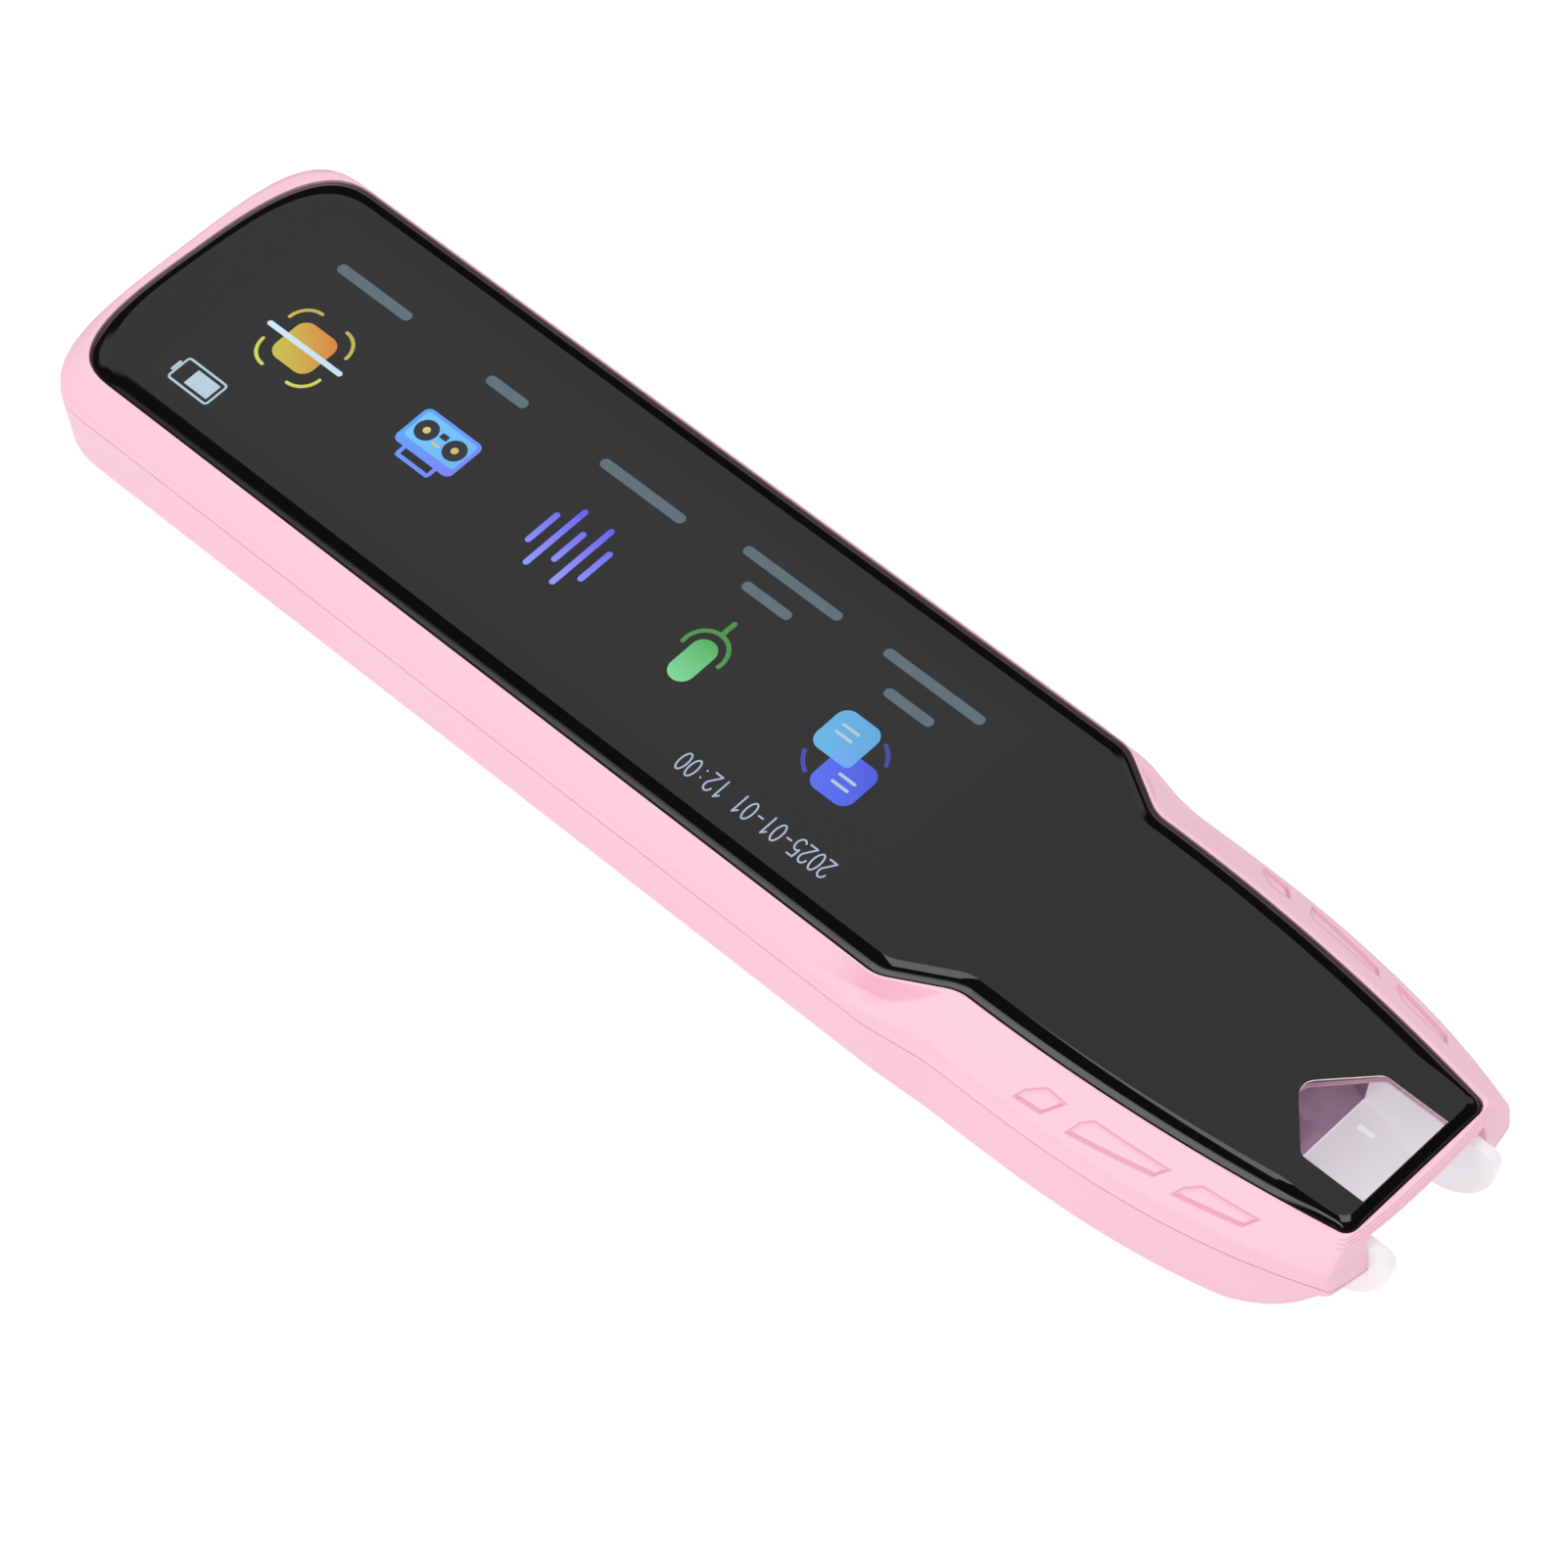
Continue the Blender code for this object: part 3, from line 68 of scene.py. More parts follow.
def unit(vectors):
    # Vectors of length 1
    return vectors / np.linalg.norm(vectors, axis=-1, keepdims=True)


# View and light
view = {
    "place": (0.28605210, -0.22474483, 0.49816426), "turn": (0.62407576, 0.08913667, 0.78223880),
    "lens": 166.4312, "sensor": 36.0, "nearest": 0.01,
}
camera = addObject("camera", bpy.data.cameras.new("camera"))
camera.location = view["place"]
camera.rotation_euler = Euler(view["turn"], "XYZ")
camera.data.lens = view["lens"]
camera.data.sensor_width = view["sensor"]
camera.data.clip_start = view["nearest"]
scene.camera = camera
scene.view_settings.view_transform = "Standard"

lampValues = {
    # name: (place, edge, width, height, watts, colour, whether polished things show it)
    "keyPanel": ((0.08, -0.07, 0.97), (0.5, 0.866, 0.0), 0.60, 0.90, 3.7, (1.0, 0.99, 0.98), True),
    "fillPanel": ((-0.2, -0.87, 0.36), (1.0, 0.0, 0.0), 0.80, 0.50, 2.2, (1.0, 0.985, 1.0), False),
    "nosePanel": ((0.86, 0.32, 0.40), (0.0, 1.0, 0.0), 0.60, 0.40, 0.9, (1.0, 0.99, 1.0), False),
}
# How bright the room is as a light, and what polished things show of it: a soft card above the horizon and a
# glow low down in front; an edge is a direction and the two shares of it between which the patch fades in
roomValues = {
    "light": 0.60, "beyond": 0.02, "card": 0.60, "glow": 2.4,
    "cardEdges": (
        ((-1.0, 0.9, 0.0), 0.40, 0.58), ((-1.0, 0.9, 0.0), 1.06, 0.94), ((0.0, 0.0, 1.0), 0.30, 0.52),
    ),
    "glowEdges": (
        ((-0.4, -0.9, 0.0), 0.52, 0.68), ((0.6, -0.8, 0.0), 0.20, 0.42),
        ((0.0, 0.0, 1.0), 0.66, 0.54), ((0.0, 0.0, 1.0), 0.26, 0.40),
    ),
}


def addLamp(name, place, edge, width, height, watts, colour, mirrored):
    # A panel that faces the origin, with its width along an edge direction
    lamp = bpy.data.lights.new(name, "AREA")
    lamp.shape = "RECTANGLE"
    lamp.size, lamp.size_y = width, height
    lamp.energy, lamp.color = watts, colour
    away = unit(np.array(place))
    across = unit(np.array(edge) - away * (away @ edge))
    obj = addObject(name, lamp)
    obj.matrix_world = Matrix(np.column_stack([across, np.cross(away, across), away])).to_4x4()
    obj.location = place
    obj.visible_glossy = mirrored


for lampName, values in lampValues.items():
    addLamp(lampName, *values)


def feed(tree, node, inputs):
    # Each named or numbered input gets a link from an output, or a plain value
    for socket, value in inputs.items():
        if isinstance(value, bpy.types.NodeSocket):
            tree.links.new(value, node.inputs[socket])
        else:
            node.inputs[socket].default_value = value


def addNode(tree, kind, inputs=None, **settings):
    node = tree.nodes.new("ShaderNode" + kind)
    for name, value in settings.items():
        setattr(node, name, value)
    feed(tree, node, inputs or {})
    return node


def newLook(name):
    # A material, its node tree and its Principled shader
    look = bpy.data.materials.new(name)
    look.use_nodes = True
    return look, look.node_tree, look.node_tree.nodes["Principled BSDF"]


def workOut(tree, operation, *values):
    return addNode(tree, "Math", dict(enumerate(values)), operation=operation).outputs[0]


def shareAlong(tree, vector, axis):
    inputs = {0: vector, 1: axis}
    return addNode(tree, "VectorMath", inputs, operation="DOT_PRODUCT").outputs["Value"]


def mixLevel(tree, mask, low, high):
    # low where the mask is 0 and high where it is 1; each is a number or an output
    inputs = {"Value": mask, "To Min": low, "To Max": high}
    return addNode(tree, "MapRange", inputs).outputs["Result"]


def mixColour(tree, mask, low, high):
    inputs = {"Factor": mask, "A": low, "B": high}
    return addNode(tree, "Mix", inputs, data_type="RGBA").outputs["Result"]


def sightMask(tree, *rays):
    # 1 for the named kinds of ray, and 0 for the light that falls on things
    path = addNode(tree, "LightPath")
    mask = path.outputs[rays[0]]
    for ray in rays[1:]:
        mask = workOut(tree, "MAXIMUM", mask, path.outputs[ray])
    return mask


def patchMask(tree, direction, edges):
    # A soft patch of the sky: one smooth step of the ray's share of each edge's direction, multiplied
    patch = None
    for axis, start, end in edges:
        inputs = {"Value": shareAlong(tree, direction, axis), "From Min": start, "From Max": end}
        edge = addNode(tree, "MapRange", inputs, interpolation_type="SMOOTHSTEP").outputs["Result"]
        patch = edge if patch is None else workOut(tree, "MULTIPLY", patch, edge)
    return patch


def buildWorld():
    v = roomValues
    scene.world = bpy.data.worlds.new("studio")
    scene.world.use_nodes = True
    tree = scene.world.node_tree
    way = addNode(tree, "TexCoord").outputs["Generated"]
    shown = mixLevel(tree, patchMask(tree, way, v["cardEdges"]), v["beyond"], v["card"])
    shown = mixLevel(tree, patchMask(tree, way, v["glowEdges"]), shown, v["glow"])
    level = mixLevel(tree, sightMask(tree, "Is Camera Ray", "Is Transmission Ray"), v["light"], 1.0)
    level = mixLevel(tree, sightMask(tree, "Is Glossy Ray"), level, shown)
    feed(tree, tree.nodes["Background"], {"Color": (1, 1, 1, 1), "Strength": level})


buildWorld()
floorValues = {
    "half": 3.0, "height": -0.0001, "colour": (0.86, 0.86, 0.87, 1), "roughness": 0.9, "shine": 0.1,
    "lift": 0.50, "near": 0.001, "nearLift": 0.25, "mirrorLoss": 0.8, "mirrorFar": 0.024,
}


def buildFloor():
    # White paper just under the part, which can't be seen from below
    v = floorValues
    half, height = v["half"], v["height"]
    mesh = bpy.data.meshes.new("floor")
    corners = [(-half, -half, height), (half, -half, height), (half, half, height), (-half, half, height)]
    mesh.from_pydata(corners, [], [(0, 1, 2, 3)])
    floor = addObject("floor", mesh)
    paper, tree, shader = newLook("floorPaper")
    paper.cycles.emission_sampling = "NONE"
    # what is closer than a near distance gets light from it, as the underside would on a lit table
    length = addNode(tree, "LightPath").outputs["Ray Length"]
    close = mixLevel(tree, workOut(tree, "LESS_THAN", length, v["near"]), 0.0, v["nearLift"])
    seen = sightMask(tree, "Is Camera Ray", "Is Glossy Ray", "Is Transmission Ray")
    feed(tree, shader, {
        "Base Color": v["colour"], "Roughness": v["roughness"], "Specular IOR Level": v["shine"],
        "Emission Color": (1, 1, 1, 1), "Emission Strength": mixLevel(tree, seen, close, v["lift"]),
    })
    # reflections show little of the paper, as the glass edges of the photo are dark
    loss = mixLevel(tree, workOut(tree, "GREATER_THAN", length, v["mirrorFar"]), 0.0, v["mirrorLoss"])
    mirrored = mixLevel(tree, sightMask(tree, "Is Glossy Ray"), 0.0, loss)
    behind = addNode(tree, "NewGeometry").outputs["Backfacing"]
    join = addNode(tree, "MixShader", {
        0: mixLevel(tree, behind, mirrored, 1.0), 1: shader.outputs["BSDF"],
        2: addNode(tree, "BsdfTransparent").outputs["BSDF"],
    })
    feed(tree, tree.nodes["Material Output"], {"Surface": join.outputs["Shader"]})
    mesh.materials.append(paper)


buildFloor()
print("view, light and floor ready")


# Finishes
def newGroup(name, inputs, outputs):
    # An empty node group with its sockets, then the outputs of its input node, and its output node
    group = bpy.data.node_groups.new(name, "ShaderNodeTree")
    for side, sockets in (("INPUT", inputs), ("OUTPUT", outputs)):
        for socket, kind in sockets.items():
            group.interface.new_socket(name=socket, in_out=side, socket_type="NodeSocket" + kind)
    return group, group.nodes.new("NodeGroupInput").outputs, group.nodes.new("NodeGroupOutput")


noiseSpan = {"From Min": 0.3, "From Max": 0.7}


def buildGrainGroup():
    # Fine moulded grain and cloudy variation: two noises of one point, one fine and one broad
    group, start, end = newGroup("surfaceGrain", {
        "Vector": "Vector", "Fine Scale": "Float", "Broad Scale": "Float", "Light Color": "Color",
        "Deep Color": "Color", "Least Roughness": "Float", "Most Roughness": "Float",
    }, {"Color": "Color", "Roughness": "Float", "Height": "Float"})
    noises = []
    for scale, detail in (("Fine Scale", 4.0), ("Broad Scale", 3.0)):
        inputs = {"Vector": start["Vector"], "Scale": start[scale], "Detail": detail}
        noises.append(addNode(group, "TexNoise", inputs).outputs["Fac"])
    fine, broad = noises
    rough = addNode(group, "MapRange", {
        "Value": broad, "To Min": start["Least Roughness"], "To Max": start["Most Roughness"], **noiseSpan,
    })
    colour = mixColour(group, broad, start["Light Color"], start["Deep Color"])
    feed(group, end, {"Color": colour, "Roughness": rough.outputs["Result"], "Height": fine})
    return group


grainGroup = buildGrainGroup()
finishValues = {
    # name: (light colour, deep colour, least and most roughness, fine scale, broad scale, bump)
    "pinkPlastic": ((0.955, 0.605, 0.712), (0.945, 0.585, 0.694), (0.42, 0.52), 3200, 45, 0.10),
    "blackGlass": ((0.0030, 0.0024, 0.0030), (0.0042, 0.0034, 0.0040), (0.015, 0.03), 900, 40, 0.0),
    "clearPane": ((1.0, 0.985, 1.0), (0.98, 0.965, 0.99), (0.0, 0.01), 900, 30, 0.0),
    "paleMark": ((0.95, 0.94, 0.95), (0.92, 0.91, 0.93), (0.4, 0.5), 1500, 200, 0.02),
    # the milky plastic's base colour is kept dark, as its glow of painted light below makes up its brightness
    "milkyPlastic": ((0.52, 0.50, 0.525), (0.50, 0.48, 0.505), (0.28, 0.38), 1500, 90, 0.03),
    "tintedPlate": ((0.47, 0.24, 0.41), (0.22, 0.13, 0.22), (0.06, 0.12), 900, 260, 0.0),
    "lensGlass": ((0.9, 0.95, 1.0), (0.85, 0.9, 1.0), (0.0, 0.01), 900, 60, 0.0),
    "boardGreen": ((0.02, 0.13, 0.05), (0.012, 0.08, 0.035), (0.3, 0.45), 1800, 700, 0.3),
    "tinnedSteel": ((0.66, 0.66, 0.64), (0.52, 0.52, 0.50), (0.25, 0.4), 2400, 300, 0.08),
    "springSteel": ((0.55, 0.55, 0.55), (0.42, 0.42, 0.43), (0.22, 0.35), 3000, 500, 0.08),
    "blackPlastic": ((0.025, 0.025, 0.026), (0.016, 0.016, 0.017), (0.4, 0.55), 3000, 200, 0.15),
    "flexFilm": ((0.50, 0.24, 0.04), (0.36, 0.16, 0.025), (0.25, 0.4), 1500, 250, 0.06),
    "foam": ((0.05, 0.05, 0.05), (0.025, 0.025, 0.025), (0.85, 0.95), 4500, 400, 0.9),
    "batteryFoil": ((0.62, 0.63, 0.65), (0.50, 0.51, 0.53), (0.28, 0.45), 700, 120, 0.25),
    "whitePlastic": ((0.84, 0.84, 0.81), (0.76, 0.76, 0.73), (0.35, 0.5), 2500, 200, 0.08),
    "goldContact": ((0.86, 0.62, 0.26), (0.72, 0.50, 0.20), (0.2, 0.35), 2500, 400, 0.05),
    "lcdGlass": ((0.02, 0.02, 0.024), (0.012, 0.012, 0.015), (0.05, 0.1), 900, 60, 0.0),
}
plainInputs = {
    "pinkPlastic": {"Specular IOR Level": 0.18},
    "blackGlass": {"IOR": 1.6},
    "clearPane": {"IOR": 1.3, "Transmission Weight": 1.0},
    "lensGlass": {"IOR": 1.5, "Transmission Weight": 1.0},
    # painted light: the pale aiming mark glows a little, to stay bright under the pane
    "paleMark": {"Emission Color": (1, 0.99, 1, 1), "Emission Strength": 0.3},
    # painted light: the milky plastic glows, as if lit through its walls, to brighten the hood and its inside
    "milkyPlastic": {"Emission Color": (0.97, 0.93, 0.96, 1), "Emission Strength": 0.39},
    "tinnedSteel": {"Metallic": 1.0},
    "springSteel": {"Metallic": 1.0},
    "goldContact": {"Metallic": 1.0},
    "batteryFoil": {"Metallic": 0.9},
}
bumpReach = {"foam": 0.00012, "others": 0.00004}
finishes = {}


def addFinish(name, light, deep, roughness, fine, broad, bump):
    # A Principled finish whose colour, roughness and bump vary through the grain group
    finishes[name], tree, shader = newLook(name)
    grain = addNode(tree, "Group", {
        "Vector": addNode(tree, "TexCoord").outputs["Object"],
        "Fine Scale": fine, "Broad Scale": broad, "Light Color": (*light, 1), "Deep Color": (*deep, 1),
        "Least Roughness": roughness[0], "Most Roughness": roughness[1],
    }, node_tree=grainGroup).outputs
    reach = bumpReach.get(name, bumpReach["others"])
    relief = addNode(tree, "Bump", {"Strength": bump, "Distance": reach, "Height": grain["Height"]})
    feed(tree, shader, {
        "Base Color": grain["Color"], "Roughness": grain["Roughness"], "Normal": relief.outputs["Normal"],
        **plainInputs.get(name, {}),
    })


for finishName, values in finishValues.items():
    addFinish(finishName, *values)
# Each CAD node wears the finish named like its slot, and the printed glass is the black one
for row in frame["record"]["subparts"]:
    first, *rest = row["material_slot"].replace("printed", "black").split("_")
    worn = nodes[row["node"]].data.materials
    worn.clear()
    worn.append(finishes[first + "".join(word.title() for word in rest)])
print("finishes made:", len(finishes))

# The case's outlines; all lengths below are in millimetres
case = {
    "noseX": 73.725, "tailX": -75.475, "neckLength": 39.5, "shoulderLength": 8.2, "shoulderBend": 0.25,
    "crease": 9.15, "creaseRise": 0.75, "rimTop": 12.9, "parting": 7.8, "crownPower": 3.0,
    "sideBulge": 0.2, "endBulge": 1.1, "markReach": (41.4, 66.2),
    # the tail's depth, the nose's corner and crown, the powers of the tail and the taper, the tail's lean
    "shape": (9.0, 0.5, 1.1, 4.4, 2.8, 0.4),
}
# name: (main, neck and nose half widths), (tail and nose insets), shape
outlines = {
    "rim": ((15.2, 12.0, 8.4), (2.1, 0.6), (8.2, 0.6, 0.7, 3.4, 2.0, 0.4)),
    "crease": ((17.0, 15.6, 10.4), (0.2, 0.0), case["shape"]),
    "parting": ((17.1, 16.3, 10.3), (0.0, 0.0), case["shape"]),
    "belly": ((17.1, 16.8, 10.2), (0.3, 0.0), case["shape"]),
    "glass": ((15.0, 11.6, 7.85), (3.0, 1.25), (7.43, 1.2, 0.0, 3.13, 2.0, 0.95)),
}
# How many points each stretch of the half outline has
counts = {
    "front": 9, "corner": 6, "tip": 24, "marks": 250, "neckEnd": 24, "shoulder": 44, "side": 30, "tail": 44,
}


def taperOf(x, power):
    # One less the distance from the nose in neck lengths, held between 0 and 1, to a power
    along = np.clip((case["noseX"] - x) / case["neckLength"], 0, 1)
    return (1 - along) ** power


def easeOf(share):
    # A straight ramp from 0 to 1 whose two ends are parabolas
    share = np.clip(share, 0, 1)
    bend = case["shoulderBend"]
    slope = 1 / (1 - bend)
    low = slope * share**2 / (2 * bend)
    high = 1 - slope * (1 - share) ** 2 / (2 * bend)
    return np.where(share < bend, low, np.where(share > 1 - bend, high, slope * (share - bend / 2)))


def smoothStep(share):
    share = np.clip(share, 0, 1)
    return share * share * (3 - 2 * share)


def halfWidth(x, halves, power):
    # The neck narrows by the taper, and the shoulder adds the step up to the main width
    main, neck, nose = halves
    narrow = neck - (neck - nose) * taperOf(x, power)
    start = case["noseX"] - case["neckLength"]
    return narrow + (main - narrow) * easeOf((start - x) / case["shoulderLength"])


def outlineOf(outline, inset=0.0, sizes=counts):
    # x and y of an outline from the middle of the nose face round: a crowned face, a quarter-circle corner,
    # the width curve and a superellipse at the tail, then their mirror, leaned a little at the tail
    halves, ends, (depth, corner, crown, tailPower, taperPower, lean) = outline
    halves = [half - inset for half in halves]
    nose, tail = case["noseX"] - ends[1] - inset, case["tailX"] + ends[0] + inset
    cornerX = nose - crown - corner
    cornerY = halfWidth(cornerX, halves, taperPower) - corner
    faceY = cornerY * np.linspace(0, 1, sizes["front"], endpoint=False)
    turn = np.linspace(0, math.pi / 2, sizes["corner"], endpoint=False)
    frontX = np.concatenate([np.full(len(faceY), nose), nose + corner * (np.cos(turn) - 1)])
    frontY = np.concatenate([faceY, cornerY + corner * np.sin(turn)])
    frontX = frontX - crown * (frontY / (cornerY + corner)) ** case["crownPower"]
    neckX = case["noseX"] - case["neckLength"]
    stops = (cornerX, *case["markReach"][::-1], neckX, neckX - case["shoulderLength"], tail + depth)
    steps = [sizes[name] for name in ("tip", "marks", "neckEnd", "shoulder", "side")]
    sideX = np.concatenate([np.linspace(a, b, n, endpoint=False) for a, b, n in zip(stops, stops[1:], steps)])
    turn = np.linspace(0, math.pi / 2, sizes["tail"])
    tailX = tail + depth * (1 - np.sin(turn) ** (2 / tailPower))
    tailY = halves[0] * np.cos(turn).clip(0) ** (2 / tailPower)
    x = np.concatenate([frontX, sideX, tailX])
    y = np.concatenate([frontY, halfWidth(sideX, halves, taperPower), tailY])
    x, y = np.concatenate([x, x[-2:0:-1]]), np.concatenate([y, -y[-2:0:-1]])
    return np.column_stack([np.where(x <= tail + depth, x + lean * y / halves[0], x), y])


def levelOf(height, outline, inset=0.0, rise=0.0, sizes=counts):
    # An outline at a height that rises towards the nose as the taper does
    flat = outlineOf(outline, inset, sizes)
    return np.column_stack([flat, height + rise * taperOf(flat[:, 0], outline[2][4])])


def flankLevel(share, inset=0.0):
    # A level of the flank, share of the way from the crease to the rim: its width and its ends fall
    # away from the crease by one less the share, with a slight bulge
    side, end = ((1 - share) * (1 + case[bulge] * share) for bulge in ("sideBulge", "endBulge"))
    pairs = zip(outlines["rim"], outlines["crease"], (side, end, side))
    outline = [np.add(low, np.subtract(high, low) * part) for low, high, part in pairs]
    height = case["crease"] + (case["rimTop"] - case["crease"]) * share
    return levelOf(height, outline, inset, case["creaseRise"] * (1 - share))


# Meshes
def gridFaces(rows, columns, closed=True):
    # Quads of a grid of rows by columns whose last column meets its first where it is closed
    here = np.arange(columns if closed else columns - 1)
    after = (here + 1) % columns
    base = (np.arange(rows - 1) * columns)[:, None]
    quads = np.stack([base + here, base + after, base + columns + after, base + columns + here], 2)
    return quads.reshape(-1, 4).tolist()


def placed(outline, along, axis):
    # A flat outline set at a place along an axis
    ring = np.empty((len(outline), 3))
    ring[:, [a for a in range(3) if a != axis]] = outline
    ring[:, axis] = along
    return ring


def loftMesh(rings):
    # Rings of equal length joined in turn and closed at both ends
    count = len(rings[0])
    ends = [list(range(count))[::-1], list(range((len(rings) - 1) * count, len(rings) * count))]
    return np.concatenate(rings), gridFaces(len(rings), count) + ends


def prismMesh(outline, low, high, axis=2):
    return loftMesh([placed(outline, along, axis) for along in (low, high)])


def rectangle(low, high):
    return [(low[0], low[1]), (high[0], low[1]), (high[0], high[1]), (low[0], high[1])]


def roundedOutline(corners, radii, steps=8):
    # Each corner of a convex outline becomes an arc that meets both of its edges
    corners = np.asarray(corners, float)
    points = []
    for here, before, after, radius in zip(corners, np.roll(corners, 1, 0), np.roll(corners, -1, 0), radii):
        back, ahead = unit(before - here), unit(after - here)
        half = math.acos(np.clip(back @ ahead, -1, 1)) / 2
        centre = here + unit(back + ahead) * radius / math.sin(half)
        start = here + back * radius / math.tan(half) - centre
        end = here + ahead * radius / math.tan(half) - centre
        turn = math.pi - 2 * half
        share = np.linspace(0, 1, steps)[:, None]
        bow = np.sin((1 - share) * turn) * start + np.sin(share * turn) * end
        points.append(centre + bow / math.sin(turn))
    return np.concatenate(points)


def roundedBox(centre, half, corner, steps=8):
    # A rectangle with round corners
    box = rectangle(np.subtract(centre, half), np.add(centre, half))
    return roundedOutline(box, [corner] * 4, steps)


def arcPoints(centre, radii, start, end, steps):
    # Points between two angles of a circle or, with two radii, of an ellipse
    turn = np.radians(np.linspace(start, end, steps))
    return np.asarray(centre) + np.multiply(radii, np.stack([np.cos(turn), np.sin(turn)], 1))


def slotRings(centre, axis, rows):
    # Rounded slots about a centre, as rings: each row is the place along the axis and the two half sizes
    roundness = 0.97
    return [placed(roundedBox(centre, half, min(half) * roundness), along, axis) for along, *half in rows]


def joinMeshes(parts):
    # Several point and face lists as one
    points, faces, start = [], [], 0
    for somePoints, someFaces in parts:
        points.append(np.asarray(somePoints, float))
        faces += [[v + start for v in face] for face in someFaces]
        start += len(somePoints)
    return np.concatenate(points), faces


def shadeMesh(mesh, angle=35.0):
    mesh.shade_smooth()
    mesh.set_sharp_from_angle(angle=math.radians(angle))


def makePiece(name, points, faces, finish, body, slot, replaced=(), smooth=35.0, shade=None):
    # Points in millimetres and faces become one mesh object that rides on a body
    mesh = bpy.data.meshes.new(name)
    mesh.from_pydata((np.asarray(points, float) * mm).tolist(), [], faces)
    if shade is not None:
        mesh.attributes.new("shade", "FLOAT", "POINT").data.foreach_set("value", shade)
    shape = bmesh.new()
    shape.from_mesh(mesh)
    bmesh.ops.remove_doubles(shape, verts=shape.verts, dist=1e-7)
    bmesh.ops.dissolve_degenerate(shape, edges=shape.edges, dist=1e-8)
    bmesh.ops.recalc_face_normals(shape, faces=shape.faces)
    shape.to_mesh(mesh)
    shape.free()
    if smooth:
        shadeMesh(mesh, smooth)
    mesh.materials.append(finishes[finish])
    obj = addObject(name, mesh)
    if body:
        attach(obj, body)
    if replaced:
        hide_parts(*replaced)
    return obj


def cutAway(obj, parts):
    # Exact Boolean difference with the joined parts, applied, with the cutter removed
    cutter = makePiece(obj.name + "Cutter", *joinMeshes(parts), "blackPlastic", None, None, smooth=0)
    change = obj.modifiers.new("cut", "BOOLEAN")
    change.operation = "DIFFERENCE"
    change.solver = "EXACT"
    change.object = cutter
    bpy.context.view_layer.update()
    mesh = bpy.data.meshes.new_from_object(obj.evaluated_get(bpy.context.evaluated_depsgraph_get()))
    finish = obj.data.materials[0]
    obj.modifiers.clear()
    obj.data = mesh
    mesh.materials.clear()
    mesh.materials.append(finish)
    bpy.data.objects.remove(cutter)
    shadeMesh(mesh)
    mesh.name = obj.name


def boxOf(node):
    # The lowest and the highest corner of a CAD node
    return [np.array(corner[:]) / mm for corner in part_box(node)]


# Top shell
topValues = {
    "wall": 1.2, "seam": 0.035, "rimRound": 0.16, "rimFlat": 0.6, "rimTurns": (0.25, 1, 4),
    "recessGap": 0.1, "recessEdge": (0.04, 0.03), "ledgeTop": 11.9, "ledgeBase": 11.3,
    # stretches of the flank as shares and levels, then (share, inset) and (drop, inset) at the crease
    "flankStretches": ((0.955, 0.715, 24), (0.70, 0.14, 44), (0.12, 0.05, 4)),
    "creaseShares": ((0.025, 0.01), (0.0, 0.056)), "creaseDrops": ((0.08, 0.03), (0.2, 0.0)),
    "windowEase": 0.35, "displayEase": 0.3, "cutBelow": 1.0, "cutAbove": 0.5, "cutAhead": 2.0,
    "notchHalf": 7.05, "notchTop": 11.0, "notchBase": 5.0, "stepInset": 0.9, "stepTop": 11.8, "noseWall": 3.2,
    "windowBase": 2.5, "windowShoulder": 9.25, "windowApex": 14.1, "windowHalf": 5.0,
    "shoulderShare": 0.5, "windowRounds": (0.12, 0.12, 1.1, 1.4, 1.1),
    "markDepth": 0.17, "markWalls": (0.34, 0.07), "markTurn": 0.2, "markLine": 0.13,
    # the groove line's colour below is painted shade: it darkens the outline as shade in a real groove would
    "markTint": (0.85, 0.38, 0.51, 1), "grooveStrength": 0.6, "grooveReach": 0.0001,
    "ridgeHeights": (12.05, 12.38, 12.70), "ridgeDepth": 0.11, "ridgeWidth": 0.07, "ridgeReach": (1.9, 0.5),
    "scoopReach": (22.6, 32.9), "scoopPeak": 0.36, "scoopShare": 0.66, "scoopDepth": 1.05, "scoopEdge": 0.10,
    # painted shade: the darker pink the scoop's wall is coloured, standing in for the shade under the rim
    "scoopTint": (0.94, 0.49, 0.62, 1),
}
# Corners of the recessed marks on each flank, as x and height
markCorners = [
    [(42.2, 9.95), (42.8, 10.7), (44.5, 11.6), (46.55, 11.45), (44.9, 10.05)],
    [(47.75, 10.0), (48.5, 11.0), (49.5, 11.55), (57.1, 11.5), (56.1, 10.7)],
    [(58.3, 10.35), (58.85, 11.0), (60.2, 11.65), (65.6, 11.55), (64.6, 10.7)],
]


def edgesOf(corners):
    # The edges of a convex outline, as unit normals that point inward and their offsets
    corners = np.asarray(corners, float)
    edges = []
    for a, b in zip(corners, np.roll(corners, -1, 0)):
        normal = unit(np.array([a[1] - b[1], b[0] - a[0]]))
        if (corners.mean(0) - a) @ normal < 0:
            normal = -normal
        edges.append((normal, float(a @ normal)))
    return edges


